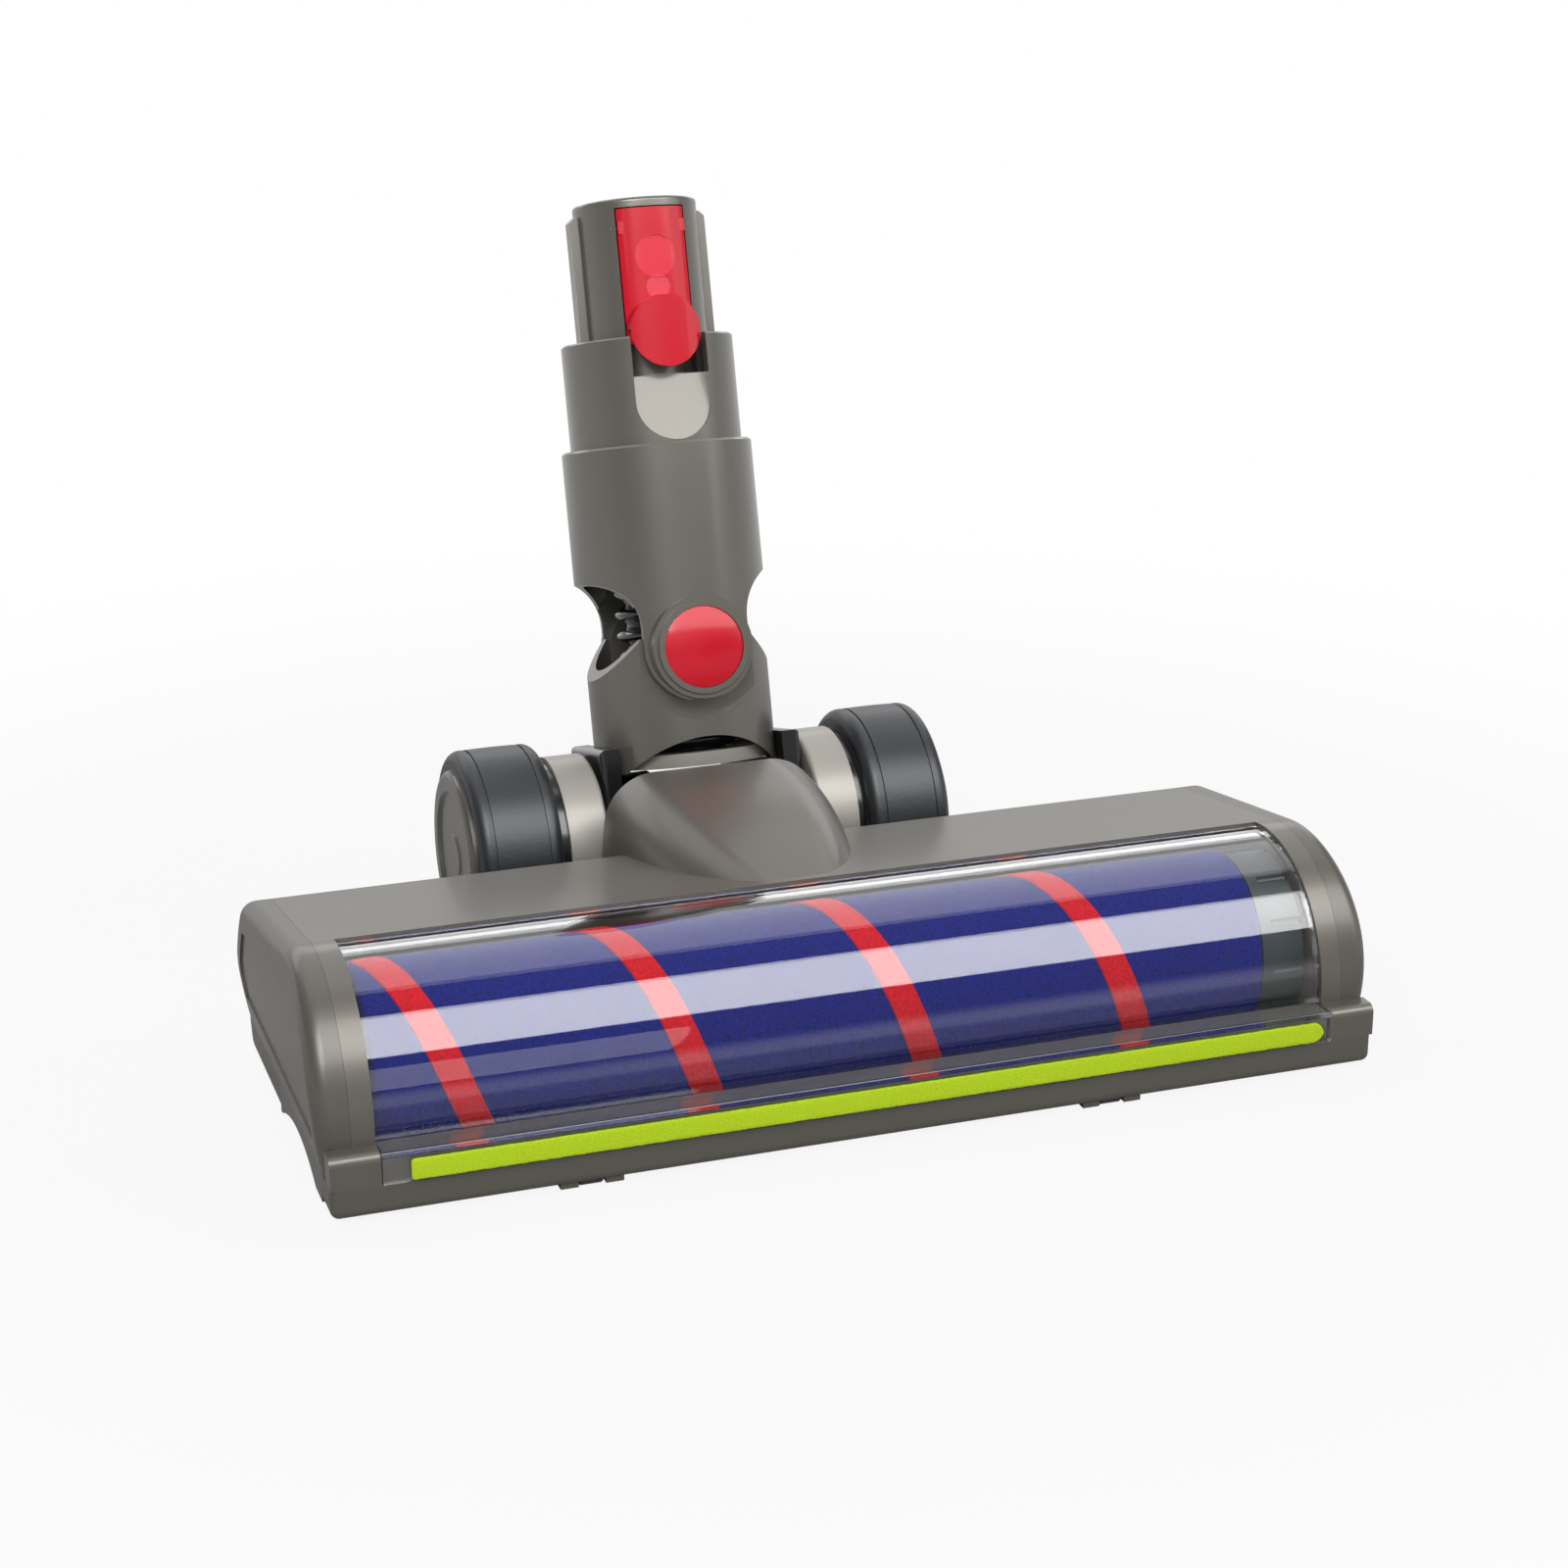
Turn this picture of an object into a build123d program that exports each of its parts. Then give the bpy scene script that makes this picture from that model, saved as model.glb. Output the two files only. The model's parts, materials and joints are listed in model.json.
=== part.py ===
from build123d import *
import os
from math import acos, atan2, cos, degrees, hypot, pi, sin, sqrt

# Powered floor head for a stick vacuum cleaner. Millimetres, +X to the right along the roller,
# +Y to the back, +Z up. The pieces are drawn with y = 0 under the window's axis and z = 0 on the
# floor, and are moved as a whole at the end so that the origin is the middle of the footprint.

# Body of the head
overall_width = 254.0
cap_bulge = 2.0
cap_wall = 6.0
arch_wall = 5.2
floor_gap = 1.8
front_y = 37.3
flange_height = 14.6
seam_height = 7.2
window_radius = 31.0
window_wall = 2.0
window_gap = 0.15
dome_height = 15.9
arch_radius = 32.0
rear_y = 57.9
rear_height = 38.5
belly_out = 10.0
belly_height = 21.5
shell_wall = 2.4
end_edge = 4.2
bulge_radius = 103.0
bulge_height = 27.5
panel_inset = 7.0
panel_step = 0.5
fit_gap = 0.1
run_gap = 0.05
body_gap = 0.3

# Window ledge and felt strips
ledge_wall = 1.5
skirt_proud = 0.6
felt_height = 5.0
felt_proud = 1.0
felt_left_margin = 6.3
felt_right_margin = 2.8
rear_felt_width = 3.0
rear_felt_drop = 1.2
rear_felt_margin = 8.8

# Roller
roller_radius = 22.5
roller_back = -2.5
roller_lift = 0.3
nap_radius = 22.0
tube_radius = 17.0
tube_wall = 1.6
roller_side_gap = 1.1
drive_end_width = 10.8
stripe_width = 6.9
stripe_pitch = 53.0
stripe_start_angle = 167.0
chamber_gap = 2.7
axle_pin_radius = 3.0
bearing_radius = 8.0
bearing_width = 5.0
plug_length = 9.0
drive_shaft_radius = 5.0

# Drive
motor_radius = 12.5
motor_back = 44.0
motor_height = 19.5
motor_margin = 17.8
motor_arm_gap = 5.0
shaft_radius = 1.6
big_pulley_radius = 13.0
small_pulley_radius = 6.0
pulley_flange = 1.4
belt_width = 3.2
belt_thick = 1.2
belt_wall = 1.7
belt_room = 2.6
board_margin = 21.8
board_arm_gap = 7.0
board_depth = 17.0
board_thick = 1.6
chip_count = 4
chip_size = 6.0
chip_depth = 9.0
chip_height = 5.4
screw_margin = 13.8
screw_inner = 36.0
screw_y = 48.0
screw_radius = 3.2

# Duct cover
duct_x = -4.5
duct_half = 29.0
duct_crest = 55.6
duct_tip_y = 3.0
duct_end_y = 72.0
duct_floor = 34.0
duct_wall = 2.2
channel_width = 34.0
channel_height = 20.0
channel_bottom = 14.0

# Wheels and their carrier
wheel_y = 103.1
wheel_radius = 27.2
tyre_inner = 41.2
tyre_outer = 62.7
tyre_edge_drop = 1.6
tyre_thick = 4.6
groove_inset = 3.6
groove_depth = 0.5
hub_face = 2.0
hub_boss_radius = 7.0
axle_radius = 3.0
barrel_step = 1.1
barrel_inner = 28.2
barrel_outer = 38.7
barrel_wall = 2.0
carrier_radius = 9.0
carrier_drum_radius = 16.6
carrier_drum_half = 21.4
arm_inner = 29.0
arm_outer = 37.0
arm_bottom = 15.0
arm_top = 27.0
seal_inset = 0.6
seal_width = 1.9

# Castors under the front edge
castor_spread = 62.5
castor_radius = 2.7
castor_width = 5.6
castor_y = 33.4
castor_fork_width = 14.5
castor_pin_radius = 0.8

# Neck, measured along its own axis from the wheel axle
neck_lean = 16.0
yoke_radius = 23.7
yoke_wall = 2.5
yoke_low = 17.0
arch_cut_radius = 27.8
arch_cut_center = -2.5
swivel_height = 48.2
ear_depth = 16.6
ear_face = 18.4
recess_radius = 18.6
ear_radius = 13.0
shoulder_x = 14.2
shoulder_rise = 3.1
shoulder_drop = 7.2
cheek_inner = 22.0
cheek_outer = 27.0
cheek_radius = 18.6
cheek_top = 24.0
sleeve_radius = 24.8
sleeve_wall = 2.35
sleeve_top = 100.7
notch_radius = 12.0
notch_x = 26.0
notch_rise = 6.3
tongue_half = 14.0
boss_radius = 13.2
boss_proud = 1.0
rim_radius = 11.9
rim_proud = 0.9
cap_radius = 10.35
cap_sink = 2.0
cap_dome = 1.6
swivel_pin_radius = 4.0
swivel_head_radius = 6.0

# Hose inside the neck
hose_radius = 15.0
hose_bore = 12.6
hose_low = 21.2
hose_ribs = 11
cuff_radius = 21.1
cuff_low = 17.7

# Quick-release end
collar_radius = 22.35
collar_wall = 2.9
collar_top = 128.1
collar_seat = 4.7
flange_thick = 6.0
tube_tail = 6.0
tube_out_radius = 16.1
bore_radius = 11.6
tube_over = 2.8
rail_half = 18.1
rail_width = 4.6
rail_drop = 3.0
scoop_half = 10.0
scoop_rise = 0.5
scoop_ramp_drop = 10.1
scoop_low_depth = 20.9
latch_half = 8.8
latch_rise = 1.4
latch_over = 4.8
latch_thick = 1.8
latch_gap = 0.35
latch_press_room = 1.6
pad_radius = 9.2
pad_above = 1.0
pad_inner = 18.4
pad_outer = 20.6
dimple_rise = 19.3
pivot_rise = 7.6
dimple_radius = 5.3
patch_rise = 11.4
patch_width = 8.0
patch_tall = 4.9
pocket_floor = 13.0
latch_pin_radius = 0.5
latch_pin_depth = 12.0
latch_pin_seat = 1.2
lug_inner = 6.9

# Worked out from the values above
base_z = floor_gap
seam_z = floor_gap + seam_height
flange_z = floor_gap + flange_height
dome_z = floor_gap + dome_height
rear_z = floor_gap + rear_height
belly_z = floor_gap + belly_height
half_width = overall_width / 2
base_half = half_width - cap_bulge
arch_half = base_half - cap_wall
window_half = arch_half - arch_wall
bulge_z = floor_gap + bulge_height
felt_left = window_half - felt_left_margin
felt_right = window_half - felt_right_margin
rear_felt_half = window_half - rear_felt_margin
roller_half = window_half - roller_side_gap
nap_right = roller_half - drive_end_width
motor_left = arm_outer + motor_arm_gap
motor_length = window_half - motor_margin - motor_left
board_left = board_margin - window_half
board_length = -arm_outer - board_arm_gap - board_left
roller_z = roller_radius + roller_lift
wheel_z = wheel_radius
chamber_radius = roller_radius + chamber_gap
rear_reach = hypot(rear_y, rear_z - dome_z)
top_angle = atan2(rear_z - dome_z, rear_y) + acos(arch_radius / rear_reach)
seam_y = arch_radius * cos(top_angle)
shoulder_top = swivel_height + shoulder_rise
shoulder_side = swivel_height - shoulder_drop
notch_height = swivel_height + notch_rise
sleeve_low = notch_height + notch_radius
collar_low = sleeve_top - collar_seat
flange_low = collar_low - flange_thick
tube_low = flange_low - tube_tail
hose_top = tube_low - 1.0
scoop_low = sleeve_top + scoop_rise
scoop_ramp_top = collar_top - scoop_ramp_drop
scoop_top_depth = tube_out_radius + fit_gap
pad_height = collar_top + pad_above
latch_low = pad_height + latch_rise
patch_height = pad_height + patch_rise
dimple_height = pad_height + dimple_rise
latch_pivot = dimple_height + pivot_rise
latch_top = latch_pivot + latch_over
tube_top = latch_top + tube_over
rail_top = tube_top - rail_drop
seal_radius = wheel_radius - tyre_thick - seal_inset
barrel_radius = seal_radius + barrel_step
far = 2 * overall_width
parts = {}


def x_rod(radius, start, end, y, z):
    """Solid round bar along X."""
    return Pos((start + end) / 2, y, z) * Rot(0, 90, 0) * Cylinder(radius, abs(end - start))


def x_ring(outer, inner, start, end, y, z):
    """Round tube along X."""
    return x_rod(outer, start, end, y, z) - x_rod(inner, start, end, y, z)


def y_rod(radius, start, end, x, z):
    """Solid round bar along Y."""
    return Pos(x, (start + end) / 2, z) * Rot(90, 0, 0) * Cylinder(radius, abs(end - start))


def z_rod(radius, low, high, x=0, y=0):
    """Solid round bar along Z."""
    return Pos(x, y, (low + high) / 2) * Cylinder(radius, high - low)


def block(x0, x1, y0, y1, z0, z1):
    """Box between two corners."""
    size = (abs(x1 - x0), abs(y1 - y0), abs(z1 - z0))
    return Pos((x0 + x1) / 2, (y0 + y1) / 2, (z0 + z1) / 2) * Box(*size)


def along_x(face, start, end):
    """A face drawn in Y and Z, extruded from one X to another."""
    low = min(start, end)
    return Pos(low, 0, 0) * extrude(Plane.YZ * face, amount=abs(end - start))


def along_y(face, start, end):
    """A face drawn in X and Z, extruded from one Y to another."""
    high = max(start, end)
    return Pos(0, high, 0) * extrude(Plane.XZ * face, amount=abs(end - start))


def mirrored(shape):
    """The same piece on the other side of the middle."""
    return mirror(shape, Plane.YZ)


def body_face():
    """Side outline of the head: front arc, sloping top, rounded back and flat bottom."""
    top = (arch_radius * cos(top_angle), dome_z + arch_radius * sin(top_angle))
    heel = (rear_y + belly_out * 0.2, base_z)
    arc = CenterArc((0, dome_z), arch_radius, degrees(top_angle), 180 - degrees(top_angle))
    back = FilletPolyline(
        top,
        (rear_y, rear_z),
        (rear_y + belly_out, belly_z),
        heel,
        (-arch_radius, base_z),
        (-arch_radius, dome_z),
        radius=(5.0, 12.0, 4.0, 2.5),
    )
    return make_face([arc, back])


def flange_face():
    """Side outline of the front bar that carries the felt."""
    deep = front_y - seam_y
    bar = Pos(-(front_y + seam_y) / 2, base_z + flange_height / 2) * Rectangle(deep, flange_height)
    front = bar.vertices().group_by(Axis.X)[0]
    return fillet(front, 2.0)


def keep(shape, x0, x1, y0, y1, z0, z1):
    """The part of a shape inside a box."""
    return shape & block(x0, x1, y0, y1, z0, z1)


def make_upper_housing():
    """Rear shell, the two end arches and the roller chamber's back wall in one moulding."""
    outer = body_face()
    inner = offset(outer, -shell_wall, kind=Kind.INTERSECTION)
    body = along_x(outer, -arch_half, arch_half)
    flange_block = along_x(flange_face() - outer, -base_half, base_half)
    body += flange_block + along_x(flange_face() & outer, -arch_half, arch_half)
    body -= block(-far, far, -far, far, -far, seam_z)
    wall_x = window_half
    chamber_outer = chamber_radius + shell_wall
    hollow = along_x(inner, -wall_x + shell_wall, wall_x - shell_wall)
    hollow -= x_rod(chamber_outer, -far, far, roller_back, roller_z)
    hollow -= block(-far, far, -far, seam_y + shell_wall, 0, far)
    body -= hollow
    front = block(-wall_x, wall_x, -far, seam_y, 0, far)
    body -= front
    body -= x_rod(chamber_radius, -wall_x, wall_x, roller_back, roller_z)
    low_back = roller_back + chamber_radius
    body -= block(-wall_x, wall_x, seam_y - 1, low_back, 0, roller_z)
    body -= x_rod(left_bore_radius(), -arch_half - 1, -wall_x + 1, roller_back, roller_z)
    body -= x_rod(drive_shaft_radius + 2.0, wall_x - 1, arch_half, roller_back, roller_z)
    body -= x_rod(shaft_radius + 2.0, wall_x - shell_wall - 1, arch_half, motor_back, motor_height)
    body -= along_x(belt_face(belt_thick + belt_room), wall_x + belt_wall, arch_half + 1)
    body -= channel_block(2 * fit_gap, roller_back, rear_y + 2 * belly_out)
    for side in (-1, 1):
        body -= arm_block(side, fit_gap)
    body -= duct_solid(duct_wall + fit_gap) & block(-far, far, seam_y + 9, far, 0, far)
    return body


def left_bore_radius():
    """Opening in the left arch that the roller is drawn out through."""
    return roller_radius + 1.9


def belt_face(grow):
    """Outline around both pulleys, grown by a margin."""
    big = Pos(roller_back, roller_z) * Circle(big_pulley_radius + grow)
    small = Pos(motor_back, motor_height) * Circle(small_pulley_radius + grow)
    return make_hull(big.edges() + small.edges())


def channel_block(grow, start, end):
    """Air channel from the roller chamber to the carrier's drum."""
    half = channel_width / 2 + duct_wall + grow
    low = channel_bottom - duct_wall - grow
    high = channel_bottom + channel_height + duct_wall + grow
    return block(duct_x - half, duct_x + half, start, end, low, high)


def arm_block(side, grow):
    """Arm that carries a barrel, from inside the housing to the axle."""
    start = side * (arm_inner - grow)
    end = side * (arm_outer + grow)
    return block(start, end, rear_y - 8, wheel_y, arm_bottom - grow, arm_top + grow)


def duct_section(y, grow):
    """Rounded section of the duct cover at one place along Y, as a flat-bottomed arch."""
    share = (y - duct_tip_y) / (duct_end_y - duct_tip_y)
    rise = sin(share * pi / 2) ** 0.9
    half = duct_half * (0.42 + 0.58 * sin(share * pi / 2) ** 0.75) - grow
    high = dome_z + window_radius - 1.2 + (duct_crest - dome_z - window_radius + 1.2) * rise - grow
    low = duct_floor
    corner = 0.62 * min(half, high - low)
    outline = FilletPolyline(
        (duct_x - half, low),
        (duct_x - half * 0.93, high),
        (duct_x + half * 0.93, high),
        (duct_x + half, low),
        radius=corner,
        close=False,
    )
    floor = Line((duct_x + half, low), (duct_x - half, low))
    return Pos(0, y, 0) * (Plane.XZ * make_face([outline, floor]))


def duct_solid(grow):
    """Whole form of the duct cover, lofted through its sections."""
    stations = [duct_tip_y + (duct_end_y - duct_tip_y) * k / 4 for k in range(5)]
    return loft([duct_section(y, grow) for y in stations])


def make_duct_cover():
    """Dome that leads from the window's top edge back to the neck."""
    cover = duct_solid(0)
    cover -= duct_solid(duct_wall) & block(-far, far, duct_tip_y + 6, far, 0, far)
    below = along_x(body_face(), -far, far)
    return cover - below


def make_base_plate():
    """Soleplate with the roller opening, the front bar, motor cradles and castor pockets."""
    outer = body_face() + flange_face()
    plate = along_x(outer, -base_half, base_half)
    plate = keep(plate, -far, far, -far, far, 0, seam_z)
    corners = plate.edges().filter_by(Axis.Z)
    plate = fillet(corners, 2.0)
    opening_back = roller_back + chamber_radius
    plate -= block(-window_half, window_half, -front_y + 7.5, opening_back, -1, seam_z + 1)
    pocket_front = opening_back + shell_wall + rear_felt_width + 2.4
    plate -= block(-window_half, window_half, pocket_front, rear_y - 3, base_z + shell_wall, seam_z + 1)
    felt_y = opening_back + shell_wall
    plate -= block(-rear_felt_half, rear_felt_half, felt_y, felt_y + rear_felt_width, -1, seam_z - 2)
    bar_top = flange_z - ledge_wall - fit_gap
    plate += block(-window_half + 0.5, window_half - 0.5, -front_y + 1.8, -front_y + 7.5, seam_z - 3, bar_top)
    for x in (motor_left + 8, motor_left + motor_length - 8):
        plate += block(x - 1.5, x + 1.5, motor_back - 11, motor_back + 9, base_z + 1, motor_height)
    cradle_end = motor_left + motor_length + 2
    plate -= x_rod(motor_radius + fit_gap, motor_left - 2, cradle_end, motor_back, motor_height)
    plate -= channel_block(2 * fit_gap, opening_back, rear_y + 2 * belly_out)
    for x in castor_places():
        half = castor_fork_width / 2 + fit_gap
        deep = castor_radius + body_gap
        plate -= block(x - half, x + half, -castor_y - deep, -castor_y + deep, -1, castor_radius + deep)
    plate -= z_rod(lock_radius() + fit_gap, -1, seam_z - 2, lock_x(), lock_y())
    for x, y in screw_places():
        plate -= z_rod(screw_radius + 2 * fit_gap, -1, base_z + 1.2, x, y)
    plate -= along_x(belt_face(belt_thick + belt_room), window_half + belt_wall, pulley_end() + run_gap)
    return plate - left_opening(0)


def left_opening(shrink):
    """Gap in the left end of the soleplate that lets the roller out sideways."""
    half = left_bore_radius() - shrink
    low = -1 if shrink == 0 else base_z
    high = seam_z + 1 if shrink == 0 else seam_z + 0.5
    return block(-base_half - 1, -window_half, roller_back - half, roller_back + half, low, high)


def castor_places():
    """X of the two castors."""
    return (duct_x - castor_spread, duct_x + castor_spread)


def screw_places():
    """Places of the four sole screws."""
    outer = window_half - screw_margin
    return [(x, screw_y) for x in (-outer, duct_x - screw_inner, duct_x + screw_inner, outer)]


def lock_x():
    """X of the end cap's quarter-turn lock."""
    return -base_half + 9.5


def lock_y():
    """Y of the end cap's quarter-turn lock."""
    return 36.0


def lock_radius():
    """Radius of the lock's disc."""
    return 6.0


def make_window():
    """Clear dome over the roller with its front ledge and skirt."""
    back = seam_y - window_gap
    under = window_radius - window_wall
    outer_start = degrees(acos(back / window_radius))
    inner_start = degrees(acos(back / under))
    outer = CenterArc((0, dome_z), window_radius, outer_start, 180 - outer_start)
    inner = CenterArc((0, dome_z), under, inner_start, 180 - inner_start)
    lip_y = -front_y - skirt_proud
    front = Polyline(
        (-window_radius, dome_z),
        (-window_radius, flange_z),
        (lip_y, flange_z),
        (lip_y, seam_z + fit_gap),
        (lip_y + ledge_wall, seam_z + fit_gap),
        (lip_y + ledge_wall, flange_z - ledge_wall),
        (-under, flange_z - ledge_wall),
        (-under, dome_z),
    )
    face = make_face([outer, front, inner, Line(inner @ 0, outer @ 0)])
    return along_x(face, -window_half + fit_gap, window_half - fit_gap)


def make_front_felt():
    """Felt strip along the window's skirt, square at the left and round at the right."""
    face_y = -front_y - skirt_proud
    middle = seam_z + 0.7 + felt_height / 2
    low = middle - felt_height / 2
    strip = block(-felt_left, felt_right - felt_height / 2, face_y - felt_proud, face_y, low, low + felt_height)
    round_end = y_rod(felt_height / 2, face_y - felt_proud, face_y, felt_right - felt_height / 2, middle)
    return strip + round_end


def make_rear_felt():
    """Felt strip behind the roller."""
    start = roller_back + chamber_radius + shell_wall
    half = rear_felt_half - 2 * fit_gap
    return block(-half, half, start + fit_gap, start + rear_felt_width - fit_gap, rear_felt_drop, seam_z - 2)


def pillow(sink):
    """Round bar along Y whose side is the bulge of an end cap's face, sunk by a margin."""
    middle = half_width - bulge_radius
    return y_rod(bulge_radius - sink, -overall_width, overall_width, middle, bulge_z)


def end_cap(side):
    """Shaped end of the housing: a bulging face with a soft edge and a sunk panel."""
    cap = along_x(body_face(), arch_half + fit_gap / 2, half_width) & pillow(0)
    cap = keep(cap, 0, far, -far, far, seam_z, far)
    rim = cap.faces().sort_by(Axis.X)[-1].edges().filter_by(lambda edge: edge.center().Z > seam_z + 0.5)
    cap = fillet(rim, end_edge)
    panel = along_x(offset(body_face(), -panel_inset), arch_half, half_width + 1) - pillow(panel_step)
    cap -= keep(panel, 0, far, -far, far, seam_z + panel_inset, far)
    if side < 0:
        cap = mirrored(cap)
    return cap


def make_left_end_cap():
    """Removable end cap with the spigot and boss that carry the roller."""
    cap = end_cap(-1)
    start = -arch_half - fit_gap
    spigot_radius = left_bore_radius() - fit_gap
    spigot = x_ring(spigot_radius, spigot_radius - shell_wall, start - 0.5, -window_half, roller_back, roller_z)
    boss = x_rod(axle_pin_radius + 4.0, start - 0.5, -window_half - 0.6, roller_back, roller_z)
    foot = left_opening(fit_gap) & block(-arch_half - fit_gap / 2, -base_half, -far, far, 0, far)
    finger = x_rod(45.0, -half_width - 1, -base_half + 1.6, roller_back + 3, -38.6)
    cap += spigot + boss + foot - finger
    for turn in range(3):
        rib = block(start - 0.5, -window_half - 1.5, -0.9, 0.9, 5.0, left_bore_radius() - 1.5)
        cap += Pos(0, roller_back, roller_z) * Rot(120 * turn, 0, 0) * rib
    cap = keep(cap, -half_width, 0, -far, far, base_z, far)
    return cap - x_rod(axle_pin_radius, -base_half + 2.2, -window_half + 1, roller_back, roller_z)


def make_right_end_cap():
    """Fixed end cap over the belt, with room for the pulleys and the drive shaft's outer bearing."""
    cap = end_cap(1)
    cap -= along_x(belt_face(belt_thick + belt_room), arch_half - 1, pulley_end() + 0.4)
    return cap - x_rod(axle_pin_radius + run_gap, arch_half - 1, base_half - 1.2, roller_back, roller_z)


def make_roller():
    """Roller: tube, nap, helical strip, end plugs, bearing, drive end and pulley."""
    place = (roller_back, roller_z)
    tube_in = tube_radius - tube_wall
    parts["roller_tube"] = x_ring(tube_radius, tube_in, -roller_half, nap_right, *place)
    parts["roller_nap"] = x_ring(nap_radius, tube_radius + run_gap, -roller_half, nap_right, *place)
    parts["roller_stripe"] = helical_stripe()
    plug = x_rod(tube_in - run_gap, -roller_half, -roller_half + plug_length, *place)
    plug -= x_rod(bearing_radius + run_gap, -roller_half - 1, -roller_half + bearing_width, *place)
    plug -= x_rod(axle_pin_radius + 1.5, -roller_half, -roller_half + 2 * plug_length, *place)
    parts["roller_free_end"] = plug
    bearing_end = -roller_half + bearing_width
    bearing = x_ring(bearing_radius, axle_pin_radius + run_gap, -roller_half, bearing_end, *place)
    groove = x_ring(bearing_radius - 1.6, axle_pin_radius + 1.4, -roller_half - 1, -roller_half + 0.5, *place)
    parts["roller_bearing"] = bearing - groove
    start = -base_half + 2.2
    parts["roller_axle_pin"] = x_rod(axle_pin_radius, start, -roller_half + bearing_width + 2, *place)
    drive = x_rod(nap_radius - 0.6, nap_right + fit_gap, roller_half, *place)
    for turn in range(12):
        slot = x_rod(1.0, nap_right + 3, roller_half + 1, 0, nap_radius - 0.4)
        drive -= Pos(0, *place) * Rot(30 * turn, 0, 0) * slot
    drive += x_rod(tube_in - run_gap, nap_right - 8, nap_right + 1, *place)
    drive += x_rod(drive_shaft_radius, roller_half - 1, pulley_start(), *place)
    drive += x_rod(axle_pin_radius, pulley_start() - 1, base_half - 1.6, *place)
    parts["roller_drive_end"] = drive
    parts["roller_pulley"] = pulley(big_pulley_radius, axle_pin_radius, *place)


def pulley_start():
    """X where the pulleys begin, just inside the belt cavity."""
    return window_half + belt_wall + 0.5


def pulley_end():
    """X where the pulleys end."""
    return pulley_start() + belt_width + 1.6


def pulley(radius, bore, y, z):
    """Flat-belt pulley with a flange on each side."""
    start = pulley_start()
    wheel = x_rod(radius, start, pulley_end(), y, z)
    flange_radius = radius + pulley_flange
    wheel += x_rod(flange_radius, start, start + 0.6, y, z)
    wheel += x_rod(flange_radius, pulley_end() - 0.6, pulley_end(), y, z)
    return wheel - x_rod(bore + run_gap / 5, start - 1, pulley_end() + 1, y, z)


def helical_stripe():
    """Strip wound around the nap as one right-handed helix."""
    length = roller_half + nap_right - stripe_width - 2
    thick = roller_radius - nap_radius - fit_gap
    middle = nap_radius + fit_gap + thick / 2
    path = Helix(stripe_pitch, length, middle)
    start = path @ 0
    section = Plane(origin=start, x_dir=(1, 0, 0), z_dir=path % 0) * Rectangle(thick, stripe_width)
    strip = sweep(section, path=path, is_frenet=True)
    turned = Rot(0, 0, stripe_start_angle) * strip
    along = Pos(-roller_half + stripe_width / 2 + 1, roller_back, roller_z) * Rot(0, 90, 0)
    return along * turned


def make_drive():
    """Motor, its shaft and pulley, the belt and the control board."""
    can = x_rod(motor_radius, motor_left, motor_left + motor_length, motor_back, motor_height)
    edges = can.edges().filter_by(GeomType.CIRCLE)
    can = fillet(edges, 1.2)
    end = motor_left + motor_length
    can += x_rod(4.5, end, end + 2.0, motor_back, motor_height)
    can -= x_rod(shaft_radius + run_gap, end - 6, end + 3, motor_back, motor_height)
    parts["motor"] = can
    shaft_end = pulley_end() + 0.2
    parts["motor_shaft"] = x_rod(shaft_radius, end - 5, shaft_end, motor_back, motor_height)
    parts["motor_pulley"] = pulley(small_pulley_radius, shaft_radius, motor_back, motor_height)
    belt = belt_face(body_gap + belt_thick) - belt_face(body_gap)
    start = pulley_start() + 0.8
    parts["drive_belt"] = along_x(belt, start, start + belt_width)
    board_z = base_z + shell_wall
    board_back = motor_back - board_depth / 2
    chip_low = board_z + board_thick
    board_right = board_left + board_length
    board = block(board_left, board_right, board_back, board_back + board_depth, board_z, chip_low)
    for k in range(chip_count):
        x = board_left + board_length * (k + 0.5) / chip_count
        chip = block(-chip_size / 2, chip_size / 2, -chip_depth / 2, chip_depth / 2, 0, chip_height)
        board += Pos(x, motor_back, chip_low) * chip
    parts["control_board"] = board


def make_carrier():
    """Moulding behind the housing: air channel, drum, axle tube and the arms to the barrels."""
    place = (wheel_y, wheel_z)
    half = barrel_outer + seal_width
    carrier = x_rod(carrier_radius, -half, half, *place)
    carrier += x_rod(carrier_drum_radius, -carrier_drum_half, carrier_drum_half, *place)
    start = roller_back + chamber_radius + shell_wall + rear_felt_width + 3
    for side in (-1, 1):
        carrier += arm_block(side, 0)
        carrier += block(side * arm_inner, side * arm_outer, rear_y - 8, rear_y - 4, 9.5, 36)
    carrier += block(-arm_outer, arm_outer, rear_y - 8, rear_y - 4, arm_bottom, arm_top)
    carrier += channel_in_drum(0, start)
    inner = block(
        duct_x - channel_width / 2,
        duct_x + channel_width / 2,
        start - 1,
        wheel_y,
        channel_bottom,
        channel_bottom + channel_height,
    )
    inner &= block(-carrier_drum_half + 1.6, carrier_drum_half - 1.6, -far, far, 0, far)
    hollow = x_rod(carrier_drum_radius - 2.0, -carrier_drum_half + 1.6, carrier_drum_half - 1.6, *place)
    carrier -= inner + (hollow - x_rod(axle_radius + 2.0, -far, far, *place))
    port = block(-11, 11, -8.5, 8.5, 9.5, carrier_drum_radius + 5)
    carrier -= Pos(0, *place) * Rot(-neck_lean - 16, 0, 0) * port
    return carrier - x_rod(axle_radius, -half - 1, half + 1, *place)


def channel_in_drum(grow, start):
    """The air channel's walls, cut to the drum's width."""
    walls = channel_block(grow, start, wheel_y - 4)
    narrow = block(-carrier_drum_half, carrier_drum_half, 0, far, 0, far)
    wide = block(-far, far, 0, wheel_y - cheek_radius - 1.0, 0, far)
    return walls & (narrow + wide)


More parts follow.
